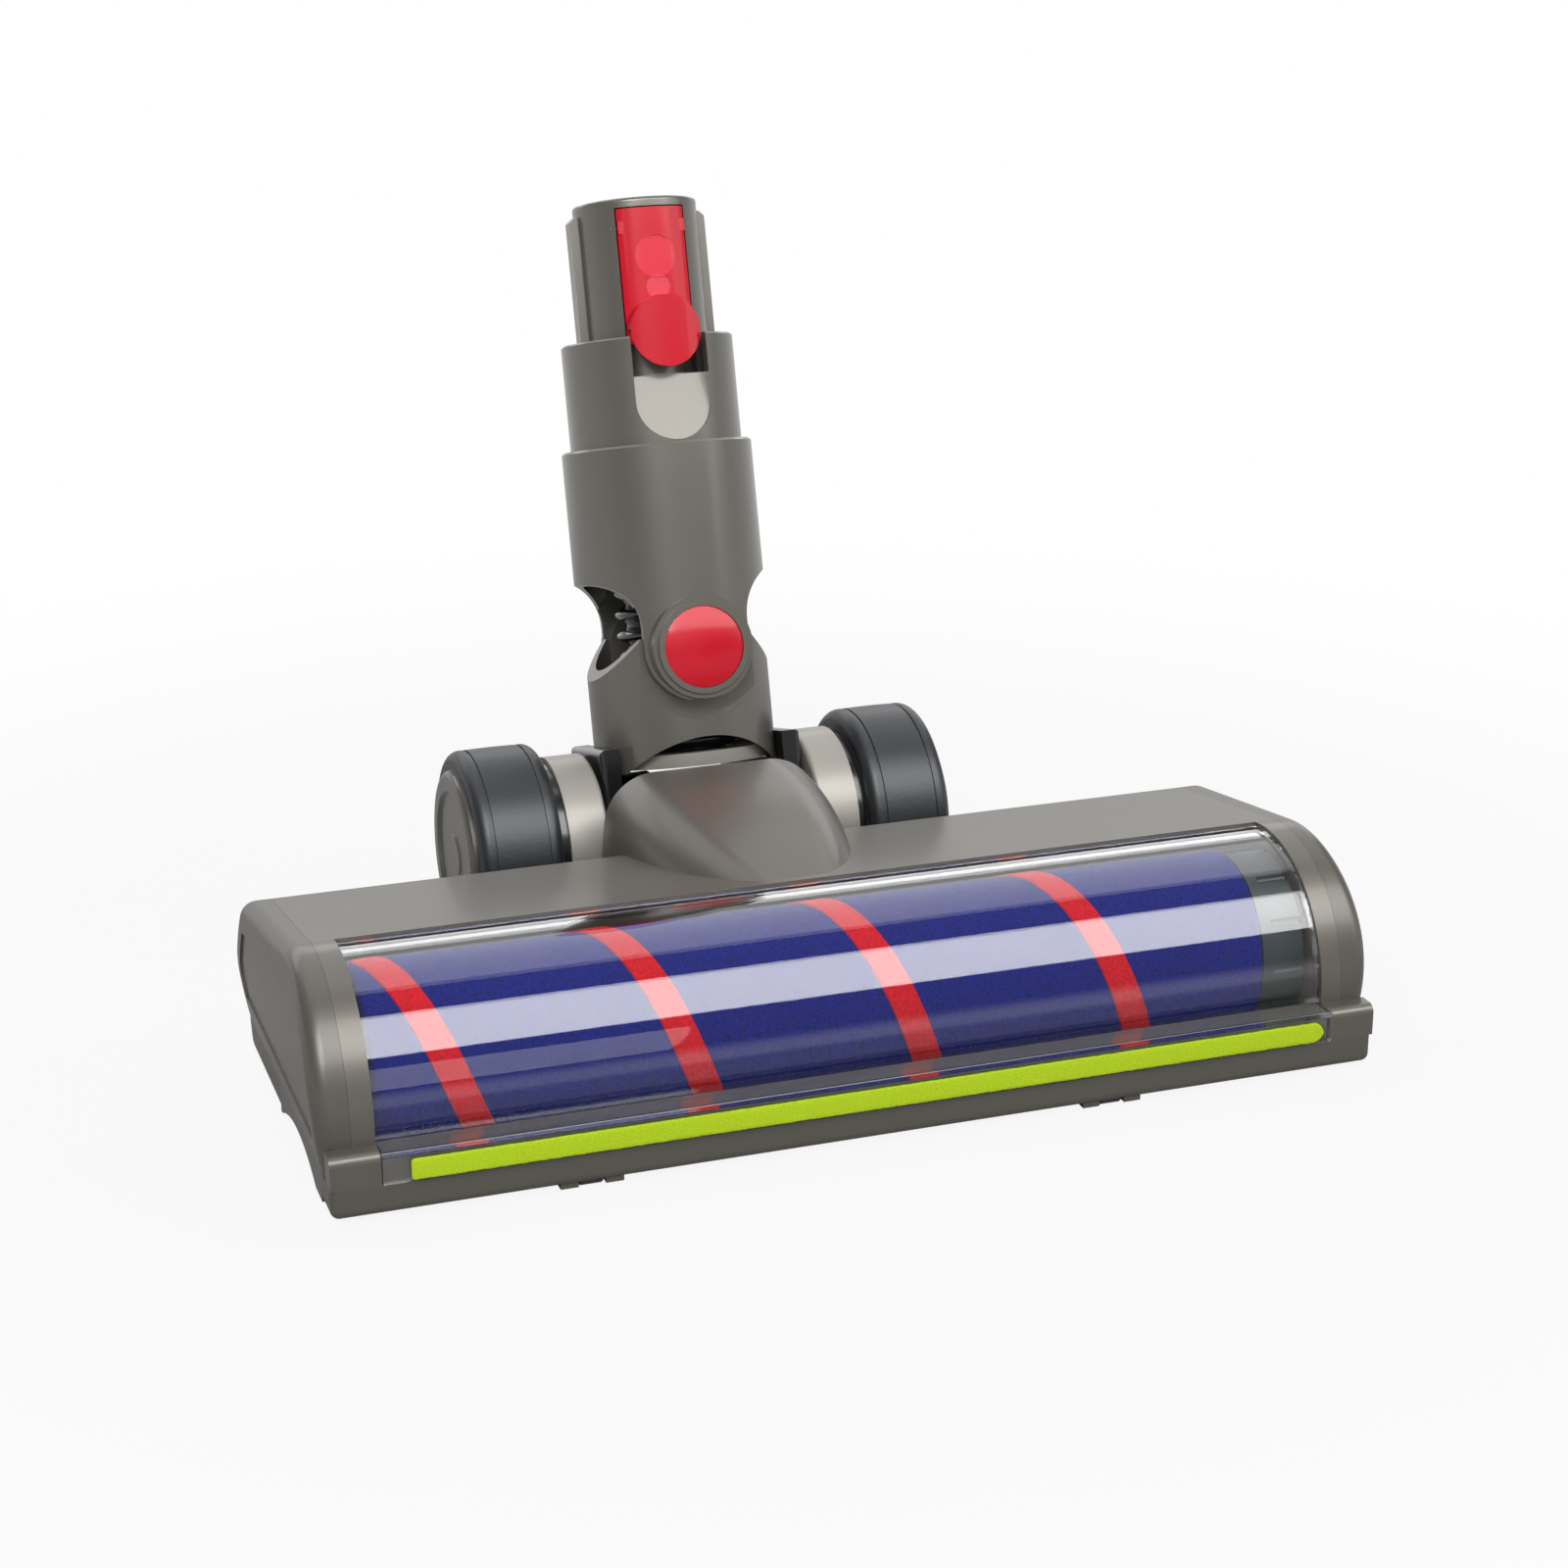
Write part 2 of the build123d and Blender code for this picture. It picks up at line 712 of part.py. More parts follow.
def make_barrel(side):
    """Silver cup around the axle between neck and wheel, open for its arm."""
    place = (wheel_y, wheel_z)
    start = side * barrel_inner
    end = side * barrel_outer
    cup = x_rod(barrel_radius, start, end, *place)
    rim = cup.faces().sort_by(Axis.X)[0 if side > 0 else -1].edges()
    cup = fillet(rim, 1.2)
    cup -= x_rod(barrel_radius - barrel_wall, start + side * barrel_wall, end + side, *place)
    cup -= x_rod(carrier_radius + run_gap, start - side, end + side, *place)
    return cup - arm_block(side, run_gap)


def make_wheel(side, name):
    """Tyre, hub and hub cap, drawn as turned sections."""
    width = tyre_outer - tyre_inner
    edge = wheel_radius - tyre_edge_drop
    rim = wheel_radius - tyre_thick
    face = make_face(
        [
            Polyline((0, rim), (0, edge - 0.8)),
            ThreePointArc((0, edge - 0.8), (1.2, edge + 1.0), (groove_inset, wheel_radius - 0.15)),
            Polyline(
                (groove_inset, wheel_radius - 0.15),
                (groove_inset, wheel_radius - groove_depth),
                (groove_inset + 0.5, wheel_radius - groove_depth),
                (groove_inset + 0.5, wheel_radius - 0.1),
            ),
            ThreePointArc(
                (groove_inset + 0.5, wheel_radius - 0.1),
                (width / 2, wheel_radius),
                (width - groove_inset - 0.5, wheel_radius - 0.1),
            ),
            Polyline(
                (width - groove_inset - 0.5, wheel_radius - 0.1),
                (width - groove_inset - 0.5, wheel_radius - groove_depth),
                (width - groove_inset, wheel_radius - groove_depth),
                (width - groove_inset, wheel_radius - 0.15),
            ),
            ThreePointArc(
                (width - groove_inset, wheel_radius - 0.15),
                (width - 1.2, edge + 1.0),
                (width, edge - 0.8),
            ),
            Polyline((width, edge - 0.8), (width, rim), (0, rim)),
        ]
    )
    turned = {
        "tyre": revolve(face, Axis.X),
        "wheel_hub": turned_hub(width, rim - run_gap),
        "hub_cap": turned_cap(width, rim),
    }
    for kind, solid in turned.items():
        solid = Pos(tyre_inner, 0, 0) * solid
        if side < 0:
            solid = mirrored(solid)
        parts[name + "_" + kind] = Pos(0, wheel_y, wheel_z) * solid


def turned_hub(width, radius):
    """Wheel centre: an open cup with a long boss on the axle and eight ribs."""
    cup = x_rod(radius, 0, width, 0, 0) - x_rod(radius - 2.0, -1, width - hub_face, 0, 0)
    cup += x_rod(hub_boss_radius, 0.2, width, 0, 0)
    rib = block(1.0, width - 1, -0.8, 0.8, hub_boss_radius - 1, radius - 1)
    for turn in range(8):
        cup += Rot(45 * turn, 0, 0) * rib
    return cup - x_rod(axle_radius + run_gap, -1, width - hub_face + 0.5, 0, 0)


def turned_cap(width, radius):
    """Hub cap with a raised ring and a dished middle."""
    cap_radius_out = radius - 0.4
    face = make_face(
        [
            Polyline((width, 0), (width, cap_radius_out), (width + 0.7, cap_radius_out)),
            ThreePointArc(
                (width + 0.7, cap_radius_out),
                (width + 1.5, cap_radius_out - 0.9),
                (width + 1.8, cap_radius_out - 2.6),
            ),
            Polyline(
                (width + 1.8, cap_radius_out - 2.6),
                (width + 1.8, cap_radius_out - 5.0),
                (width + 1.0, cap_radius_out - 5.8),
                (width + 1.0, 6.0),
                (width + 1.4, 5.4),
                (width + 1.4, 0),
                (width, 0),
            ),
        ]
    )
    return revolve(face, Axis.X)


def on_neck(shape):
    """Moves a piece drawn upright on the neck's own axis to its leaning place."""
    return Pos(0, wheel_y, wheel_z) * Rot(-neck_lean, 0, 0) * shape


def front_face(points):
    """Closed outline in X and the neck's height."""
    return make_face(Polyline(*points, close=True))


def cheek(side):
    """Dark side plate that turns on the axle tube and carries the lower neck."""
    plate = x_rod(cheek_radius, side * cheek_inner, side * cheek_outer, 0, 0)
    web = block(side * cheek_inner, side * cheek_outer, -cheek_radius + 3, cheek_radius - 3, 0, cheek_top)
    plate += web
    outer = plate.faces().sort_by(Axis.X)[-1 if side > 0 else 0].edges()
    plate = fillet(outer, 1.6)
    return plate - x_rod(carrier_radius + run_gap, -far, far, 0, 0)


def make_lower_neck():
    """Knuckle shell with two flat ears that the upper neck swivels between."""
    shell = z_rod(yoke_radius, yoke_low, shoulder_top + ear_radius)
    inner_radius = yoke_radius - yoke_wall
    block_low = 29.0
    void = z_rod(inner_radius, yoke_low - 1, block_low)
    void += z_rod(inner_radius, block_low - 1, far) & block(-far, far, -ear_depth, ear_depth, 0, far)
    shell -= void
    outline = front_face(
        [
            (-yoke_radius - 1, 0),
            (-yoke_radius - 1, shoulder_side - 0.8),
            (-shoulder_x, shoulder_top),
            (shoulder_x, shoulder_top),
            (yoke_radius + 1, shoulder_side - 0.8),
            (yoke_radius + 1, 0),
        ]
    )
    outline += Pos(0, swivel_height) * Circle(ear_radius)
    shell &= along_y(outline, -far, far)
    for side in (-1, 1):
        shell -= y_rod(recess_radius, side * ear_face, side * far, 0, swivel_height)
        shell -= cheek_envelope(side)
    shell -= y_rod(arch_cut_radius, -far, far, 0, arch_cut_center)
    return shell - y_rod(swivel_pin_radius + run_gap, -far, far, 0, swivel_height)


def cheek_envelope(side):
    """Room that a cheek takes out of the lower neck."""
    start = side * (cheek_inner - fit_gap)
    deep = cheek_radius - 3 + fit_gap
    return block(start, side * far, -deep, deep, 0, cheek_top + fit_gap)


def sleeve_outline():
    """Front outline of the sleeve: a band, the stem between the notches and a round foot."""
    wide = 3 * sleeve_radius
    outline = Pos(0, (sleeve_low + sleeve_top) / 2) * Rectangle(wide, sleeve_top - sleeve_low)
    flare = Pos(0, (notch_height + sleeve_low) / 2) * Rectangle(wide, sleeve_low - notch_height + 0.01)
    for side in (-1, 1):
        flare -= Pos(side * notch_x, notch_height) * Circle(notch_radius)
        flare -= Pos(side * (notch_x + 9), notch_height) * Rectangle(18, wide)
    stem = Pos(0, (swivel_height + notch_height) / 2) * Rectangle(2 * tongue_half, notch_rise + 0.02)
    return outline + flare + stem + Pos(0, swivel_height) * Circle(tongue_half)


def make_upper_neck():
    """Sleeve with front and rear tongues, drawn as one shell and cut by the side notches."""
    tongue_face = ear_face + body_gap
    outer = z_rod(sleeve_radius, swivel_height - boss_radius, sleeve_top)
    outer = chamfer(outer.edges().group_by(Axis.Z)[-1], 0.6)
    shell = outer - z_rod(sleeve_radius - sleeve_wall, 0, far)
    shell &= block(-far, far, -far, far, notch_height, far)
    thick = block(-tongue_half, tongue_half, -far, far, 0, sleeve_low + 4)
    thick -= block(-far, far, -tongue_face, tongue_face, 0, far)
    shell += outer & thick
    shell &= along_y(sleeve_outline(), -far, far)
    shell -= y_rod(recess_radius + body_gap, -tongue_face, tongue_face, 0, swivel_height)
    for side in (-1, 1):
        boss_end = side * (sleeve_radius + boss_proud)
        shell += y_rod(boss_radius, side * tongue_face, boss_end, 0, swivel_height)
        rim_end = side * (sleeve_radius + boss_proud + rim_proud)
        shell += y_rod(rim_radius, side * tongue_face, rim_end, 0, swivel_height)
        cup_start = side * (sleeve_radius + boss_proud - cap_sink)
        shell -= y_rod(cap_radius + fit_gap, cup_start, side * far, 0, swivel_height)
    return shell - y_rod(swivel_pin_radius, -far, far, 0, swivel_height)


def pivot_cap(side):
    """Domed cap that closes a swivel boss, turned from its section."""
    start = sleeve_radius + boss_proud - cap_sink
    edge = sleeve_radius + boss_proud + rim_proud - 0.3
    dome_radius = (cap_radius**2 + cap_dome**2) / (2 * cap_dome)
    half_rise = edge + cap_dome - dome_radius + sqrt(dome_radius**2 - cap_radius**2 / 4)
    face = make_face(
        [
            Polyline((0, edge + cap_dome), (0, start), (cap_radius, start), (cap_radius, edge)),
            ThreePointArc((cap_radius, edge), (cap_radius / 2, half_rise), (0, edge + cap_dome)),
        ]
    )
    turned = revolve(Plane.XZ * face, Axis.Z)
    return Pos(0, 0, swivel_height) * Rot(-90 * side, 0, 0) * turned


def swivel_pin(side):
    """Headed pin that holds a tongue to an ear."""
    head = y_rod(swivel_head_radius, side * (ear_depth - 0.9), side * (ear_depth - run_gap), 0, swivel_height)
    end = side * (sleeve_radius + boss_proud - cap_sink - 0.1)
    return head + y_rod(swivel_pin_radius, side * (ear_depth - 0.5), end, 0, swivel_height)


def make_hose():
    """Corrugated hose: a wavy wall turned about the neck's axis."""
    pitch = (hose_top - hose_low) / hose_ribs
    points = []
    for k in range(hose_ribs * 4 + 1):
        wave = 0.5 - 0.5 * cos(2 * pi * k / 4)
        points.append((hose_radius - 1.5 + 1.5 * wave, hose_low + k * pitch / 4))
    outer = Spline(*points)
    face = make_face(
        [
            outer,
            Polyline(points[-1], (hose_bore, hose_top), (hose_bore, hose_low), points[0]),
        ]
    )
    return revolve(Plane.XZ * face, Axis.Z)


def make_lower_cuff():
    """Flanged ring that seats the hose in the knuckle, flat where the cheeks pass."""
    ring = z_rod(cuff_radius, cuff_low, hose_low) - z_rod(hose_bore, 0, far)
    half = cheek_inner - fit_gap
    return ring & block(-half, half, -far, far, 0, far)


def make_upper_cuff():
    """Ring that holds the hose's top end inside the sleeve."""
    ring = z_rod(sleeve_radius - sleeve_wall - fit_gap, flange_low - 3, flange_low)
    return ring - z_rod(tube_out_radius + run_gap, 0, far)


def contact_pin(x):
    """Round contact that stands up from its block beside the tube."""
    return z_rod(0.8, collar_top - 6, collar_top - 1, x, tube_out_radius + 1.1)


def make_collar():
    """Outer ring of the quick-release end, with the thumb scoop and its ramp."""
    ring = z_rod(collar_radius, collar_low, collar_top)
    ring = chamfer(ring.edges().group_by(Axis.Z)[-1], 0.5)
    inside = z_rod(collar_radius - collar_wall, collar_low - 1, collar_top + 1)
    inside -= block(-scoop_half - 1.5, scoop_half + 1.5, -far, -scoop_top_depth, 0, far)
    ring -= inside
    scoop = y_rod(scoop_half, -far, 0, 0, scoop_low + scoop_half)
    scoop += block(-scoop_half, scoop_half, -far, 0, scoop_low + scoop_half, far)
    slope = (scoop_low_depth - scoop_top_depth) / (scoop_ramp_top - scoop_low)
    ramp = make_face(
        Polyline(
            (-scoop_low_depth - slope * 20, scoop_low - 20),
            (-scoop_top_depth, scoop_ramp_top),
            (-scoop_top_depth, collar_top + 20),
            (-far, collar_top + 20),
            (-far, scoop_low - 20),
            close=True,
        )
    )
    ring -= scoop & along_x(ramp, -far, far)
    return ring - z_rod(tube_out_radius + fit_gap, 0, far)


def make_connector_tube():
    """Inner tube with side rails, seating flange and the latch's pocket."""
    tube = z_rod(tube_out_radius, tube_low, tube_top)
    tube = fillet(tube.edges().group_by(Axis.Z)[-1], 1.0)
    rail = block(-rail_half, rail_half, -rail_width / 2, rail_width / 2, collar_low, rail_top)
    rail = chamfer(rail.edges().group_by(Axis.Z)[-1].filter_by(Axis.Y), 1.4)
    tube += rail
    flange_radius = sleeve_radius - sleeve_wall - fit_gap
    tube += z_rod(flange_radius, flange_low, collar_low)
    tube -= z_rod(bore_radius, tube_low - 1, tube_top + 1)
    half = latch_half + latch_gap
    room = block(-half, half, -far, 0, pad_height - pad_radius - 1.5, latch_top + latch_gap)
    tube -= room - z_rod(pocket_floor, 0, far)
    return tube - latch_pin()


def latch_pin():
    """Two pin ends, one on each side, that the latch rocks on."""
    end = latch_half + latch_gap + latch_pin_seat
    pin = x_rod(latch_pin_radius, lug_inner + fit_gap, end, -latch_pin_depth, latch_pivot)
    return pin + mirrored(pin)


def make_latch():
    """Red release lever: a curved plate with a round finger pad, dimple and relief patch."""
    slab = block(-latch_half, latch_half, -far, 0, 0, far)
    under = tube_out_radius - latch_thick
    plate = z_rod(tube_out_radius, latch_low - 4, latch_top) & slab
    pad = y_rod(pad_radius, -pad_outer, -under / 2, 0, pad_height)
    pad -= block(-far, far, -pad_inner, 0, 0, latch_low - 0.5)
    pad -= z_rod(tube_out_radius + latch_press_room, 0, far) - slab
    pad &= z_rod(pad_outer, collar_low, tube_top)
    latch = plate + pad - z_rod(under, 0, far)
    lug_deep = latch_pin_depth - latch_pin_radius - 0.3
    for side in (-1, 1):
        start = side * lug_inner
        end = side * latch_half
        latch += block(start, end, -under, -lug_deep, latch_pivot - 1.6, latch_pivot + 1.6)
    latch -= y_rod(dimple_radius, -far, -tube_out_radius + 0.5, 0, dimple_height)
    half = patch_width / 2
    patch_low = patch_height - patch_tall / 2
    latch -= block(-half, half, -far, -tube_out_radius + 0.4, patch_low, patch_low + patch_tall)
    return latch - x_rod(latch_pin_radius + run_gap, -far, far, -latch_pin_depth, latch_pivot)


def make_neck_pieces():
    """Everything that leans with the neck."""
    upright = {
        "lower_neck": make_lower_neck(),
        "left_cheek": cheek(-1),
        "right_cheek": cheek(1),
        "hose_lower_cuff": make_lower_cuff(),
        "hose": make_hose(),
        "upper_neck": make_upper_neck(),
        "front_pivot_cap": pivot_cap(-1),
        "rear_pivot_cap": pivot_cap(1),
        "swivel_pins": swivel_pin(-1) + swivel_pin(1),
        "collar": make_collar(),
        "connector_tube": make_connector_tube(),
        "hose_upper_cuff": make_upper_cuff(),
        "latch": make_latch(),
        "latch_pin": latch_pin(),
        "latch_spring": make_latch_spring(),
        "contact_block": block(-6, 6, tube_out_radius, tube_out_radius + 2.2, collar_low, collar_top - 6),
        "contact_pins": contact_pin(-3) + contact_pin(3),
    }
    for name, solid in upright.items():
        parts[name] = on_neck(solid)


def make_latch_spring():
    """Bent leaf under the latch, resting on the pocket's floor."""
    low = (-pocket_floor, pad_height + 8.9)
    top = (-pocket_floor - 0.5, pad_height + 15.9)
    high = (-pocket_floor, pad_height + 22.9)
    line = ThreePointArc(low, top, high)
    back = ThreePointArc((low[0] - 0.35, low[1]), (top[0] - 0.35, top[1]), (high[0] - 0.35, high[1]))
    face = make_face([line, back, Line(line @ 0, back @ 0), Line(line @ 1, back @ 1)])
    return along_x(face, -2.6, 2.6)


def make_castors():
    """Two small sole castors with their forks and pins."""
    forks = []
    pins = []
    for name, x in zip(("left_castor", "right_castor"), castor_places()):
        wheel = x_rod(castor_radius, x - castor_width / 2, x + castor_width / 2, -castor_y, castor_radius)
        wheel = fillet(wheel.edges().filter_by(GeomType.CIRCLE), 0.6)
        parts[name] = wheel - x_rod(castor_pin_radius + run_gap, x - 9, x + 9, -castor_y, castor_radius)
        half = castor_fork_width / 2
        deep = castor_radius + fit_gap
        fork = block(x - half, x + half, -castor_y - deep, -castor_y + deep, 0.7, castor_radius + deep)
        room = castor_width / 2 + body_gap
        fork -= block(x - room, x + room, -castor_y - 2 * deep, -castor_y + 2 * deep, 0, 4 * deep)
        forks.append(fork - x_rod(castor_pin_radius, x - 9, x + 9, -castor_y, castor_radius))
        pins.append(x_rod(castor_pin_radius, x - half + 0.4, x + half - 0.4, -castor_y, castor_radius))
    parts["castor_forks"] = forks[0] + forks[1]
    parts["castor_pins"] = pins[0] + pins[1]


def make_lock():
    """Quarter-turn lock under the left end, with a coin slot."""
    disc = z_rod(lock_radius(), base_z + 0.2, seam_z - 2.2, lock_x(), lock_y())
    return disc - block(lock_x() - 4.5, lock_x() + 4.5, lock_y() - 0.8, lock_y() + 0.8, 0, base_z + 1.8)


def make_screws():
    """Four sole screws as one group."""
    group = None
    for x, y in screw_places():
        screw = z_rod(screw_radius, base_z + 0.1, base_z + 1.2, x, y)
        screw -= block(x - 2, x + 2, y - 0.4, y + 0.4, 0, base_z + 0.7)
        group = screw if group is None else group + screw
    return group


parts["base_plate"] = make_base_plate()
parts["upper_housing"] = make_upper_housing()
parts["duct_cover"] = make_duct_cover()
parts["window"] = make_window()
parts["front_felt"] = make_front_felt()
parts["rear_felt"] = make_rear_felt()
parts["left_end_cap"] = make_left_end_cap()
parts["right_end_cap"] = make_right_end_cap()
parts["end_cap_lock"] = make_lock()
parts["sole_screws"] = make_screws()
make_roller()
make_drive()
parts["axle_carrier"] = make_carrier()
parts["left_barrel"] = make_barrel(-1)
parts["right_barrel"] = make_barrel(1)
axle_half = tyre_outer - hub_face - 0.2
parts["wheel_axle"] = x_rod(axle_radius, -axle_half, axle_half, wheel_y, wheel_z)
for side, name in ((-1, "left"), (1, "right")):
    seal_start = side * barrel_outer
    seal_end = side * (barrel_outer + seal_width)
    seal = x_ring(seal_radius, carrier_radius + run_gap, seal_start, seal_end, wheel_y, wheel_z)
    parts[name + "_wheel_seal"] = seal
    make_wheel(side, name)
make_castors()
make_neck_pieces()

# Moved as a whole so that the origin is the middle of the footprint on the floor
lows = [solid.bounding_box().min.Y for solid in parts.values()]
highs = [solid.bounding_box().max.Y for solid in parts.values()]
middle_y = (min(lows) + max(highs)) / 2
os.makedirs("parts", exist_ok=True)
for name, solid in parts.items():
    export_step(Pos(0, -middle_y, 0) * solid, "parts/" + name + ".step")
print("pieces", len(parts), "middle_y", round(middle_y, 4))
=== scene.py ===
# %% [markdown]
# # A powered floor head for a stick vacuum cleaner
# The object is a wide brush head: a soft blue roller turns behind a clear window, two rear
# wheels sit on silver barrels, and a neck that tilts and swivels ends in a connector tube with
# a red latch. The solid parts come ready made, as a fixed frame of named nodes. This lesson
# gives them their finishes and replaces the ones whose look needs a finer surface.

# %% Load the frame
import json
import math

import bmesh
import bpy
import numpy as np
from mathutils import Matrix, Vector


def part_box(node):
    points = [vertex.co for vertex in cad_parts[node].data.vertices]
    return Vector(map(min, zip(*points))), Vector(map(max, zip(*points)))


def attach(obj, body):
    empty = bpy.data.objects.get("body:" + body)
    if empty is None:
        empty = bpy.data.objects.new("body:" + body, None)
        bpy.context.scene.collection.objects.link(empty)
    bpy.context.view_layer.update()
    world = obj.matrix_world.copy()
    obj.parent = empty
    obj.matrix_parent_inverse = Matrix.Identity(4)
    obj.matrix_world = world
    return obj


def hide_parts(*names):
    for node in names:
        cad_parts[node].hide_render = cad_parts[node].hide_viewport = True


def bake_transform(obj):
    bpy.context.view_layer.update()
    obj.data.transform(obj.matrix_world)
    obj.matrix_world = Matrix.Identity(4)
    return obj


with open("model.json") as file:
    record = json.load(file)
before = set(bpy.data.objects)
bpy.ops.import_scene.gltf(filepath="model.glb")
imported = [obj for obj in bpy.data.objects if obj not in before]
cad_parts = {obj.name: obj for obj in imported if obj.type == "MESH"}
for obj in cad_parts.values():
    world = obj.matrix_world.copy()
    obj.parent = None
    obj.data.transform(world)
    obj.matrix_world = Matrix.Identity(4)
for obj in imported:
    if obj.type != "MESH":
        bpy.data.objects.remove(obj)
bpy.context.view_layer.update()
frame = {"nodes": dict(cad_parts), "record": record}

scene = bpy.context.scene
nodes = frame["nodes"]

# %% [markdown]
# ## Camera
# The photograph was taken from the front left, a little above the head. The viewing angles
# and the distance were worked out from the part's own edges, so the camera is placed by them:
# an azimuth, an elevation, and a distance from a point above the roller.

# %% Camera
MM = 0.001
FOCAL_PIXELS = 3200.0
PHOTO_SIZE = 1600.0
PHOTO_CENTRE = (816.1, 778.7)
SENSOR = 36.0
AZIMUTH = math.radians(19.29)
ELEVATION = math.radians(19.19)
AIM = Vector((-6.1 * MM, -62.2668 * MM, 80.0 * MM))
DISTANCE = 714.5 * MM

forward = Vector((
    math.sin(AZIMUTH) * math.cos(ELEVATION),
    math.cos(AZIMUTH) * math.cos(ELEVATION),
    -math.sin(ELEVATION),
))
right = Vector((math.cos(AZIMUTH), -math.sin(AZIMUTH), 0))
up = right.cross(forward)
turn = Matrix((right, up, -forward)).transposed()
camera_data = bpy.data.cameras.new("camera")
camera_data.sensor_width = SENSOR
camera_data.lens = SENSOR * FOCAL_PIXELS / PHOTO_SIZE
camera_data.shift_x = 0.5 - PHOTO_CENTRE[0] / PHOTO_SIZE
camera_data.shift_y = PHOTO_CENTRE[1] / PHOTO_SIZE - 0.5
camera_data.clip_start = 0.01
camera = bpy.data.objects.new("camera", camera_data)
scene.collection.objects.link(camera)
camera.matrix_world = Matrix.Translation(AIM - forward * DISTANCE) @ turn.to_4x4()
scene.camera = camera
print("camera at", [round(v, 4) for v in camera.location], "lens", camera_data.lens)

# %% [markdown]
# ## Studio
# The photograph is cut out on white, with broad soft lamps. A window of clear plastic is only
# as good as what it reflects, so three long soft boxes run along the roller. Two of them are
# seen by shiny surfaces alone. The front lamp is hidden from mirrors, and lights the colours
# to a plain level together with the others and the world.
# The world is white at the horizon, and dim overhead, where a real studio's ceiling is.

# %% Node helpers


def linear(red, green, blue):
    """Turns an 8-bit display colour into linear light: ((c/255 + 0.055) / 1.055) ** 2.4."""
    values = np.array([red, green, blue]) / 255.0
    low = values / 12.92
    high = ((values + 0.055) / 1.055) ** 2.4
    return (*np.where(values <= 0.04045, low, high).tolist(), 1.0)


def soft_step(tree, value, start, end, first, last):
    """first below start, last above end, and a smooth step between them."""
    step = tree.nodes.new("ShaderNodeMapRange")
    step.interpolation_type = "SMOOTHSTEP"
    step.inputs["From Min"].default_value = start
    step.inputs["From Max"].default_value = end
    step.inputs["To Min"].default_value = first
    step.inputs["To Max"].default_value = last
    tree.links.new(value, step.inputs["Value"])
    return step.outputs["Result"]


def math_node(tree, operation, *values):
    """A maths node whose inputs are linked sockets or plain numbers."""
    node = tree.nodes.new("ShaderNodeMath")
    node.operation = operation
    for k, value in enumerate(values):
        if isinstance(value, bpy.types.NodeSocket):
            tree.links.new(value, node.inputs[k])
        else:
            node.inputs[k].default_value = value
    return node.outputs[0]


def ray_kinds(tree, *kinds):
    """1 for a ray of any of these kinds, such as "Is Glossy Ray", and 0 for the others."""
    path = tree.nodes.new("ShaderNodeLightPath")
    total = path.outputs[kinds[0]]
    for kind in kinds[1:]:
        total = math_node(tree, "MAXIMUM", total, path.outputs[kind])
    return total


def pick_number(tree, factor, plain, other):
    """plain where factor is 0 and other where it is 1. Each is a linked socket or a number."""
    mix = tree.nodes.new("ShaderNodeMix")
    tree.links.new(factor, mix.inputs["Factor"])
    for label, value in (("A", plain), ("B", other)):
        if isinstance(value, bpy.types.NodeSocket):
            tree.links.new(value, mix.inputs[label])
        else:
            mix.inputs[label].default_value = value
    return mix.outputs["Result"]


print("node helpers ready")

# %% World
WHITE_SEEN = 1.0
CEILING_SEEN = 0.25
CEILING_START = 0.02
CEILING_END = 0.2
WORLD_LIGHT = 0.2
scene.view_settings.view_transform = "Standard"

world = bpy.data.worlds.new("studio")
scene.world = world
world.use_nodes = True
tree = world.node_tree
background = tree.nodes["Background"]
background.inputs["Color"].default_value = (1, 1, 1, 1)
direction = tree.nodes.new("ShaderNodeTexCoord")
split = tree.nodes.new("ShaderNodeSeparateXYZ")
tree.links.new(direction.outputs["Generated"], split.inputs[0])
overhead = soft_step(tree, split.outputs["Z"], CEILING_START, CEILING_END, WHITE_SEEN, CEILING_SEEN)
seen = pick_number(tree, ray_kinds(tree, "Is Camera Ray"), overhead, WHITE_SEEN)
shows = ray_kinds(tree, "Is Glossy Ray", "Is Transmission Ray", "Is Camera Ray")
tree.links.new(pick_number(tree, shows, WORLD_LIGHT, seen), background.inputs["Strength"])
print("world light", WORLD_LIGHT)

# %% Lamps
HEAD_MIDDLE = (0, 0, 0.05)
ROLLER_MIDDLE = Vector((0.0, -0.0648, 0.0228))


def soft_box(name, centre, target, size_x, size_y, watts):
    """A rectangular lamp at centre that faces target, with its first side kept level."""
    lamp = bpy.data.lights.new(name, "AREA")
    lamp.shape = "RECTANGLE"
    lamp.size = size_x
    lamp.size_y = size_y
    lamp.energy = watts
    holder = bpy.data.objects.new(name, lamp)
    scene.collection.objects.link(holder)
    centre = Vector(centre)
    look = (Vector(target) - centre).normalized()
    side = look.cross(Vector((0, 0, 1))).normalized()
    rise = side.cross(look)
    facing = Matrix((side, rise, -look)).transposed().to_4x4()
    holder.matrix_world = Matrix.Translation(centre) @ facing
    return holder


def along_roller(name, angle, reach, centre_x, length, width, watts):
    """A soft box parallel to the roller: angle in degrees from straight ahead, over the top."""
    lean = math.radians(angle)
    offset = Vector((centre_x, -math.cos(lean) * reach, math.sin(lean) * reach))
    target = (centre_x, ROLLER_MIDDLE.y, ROLLER_MIDDLE.z)
    return soft_box(name, ROLLER_MIDDLE + offset, target, length, width, watts)


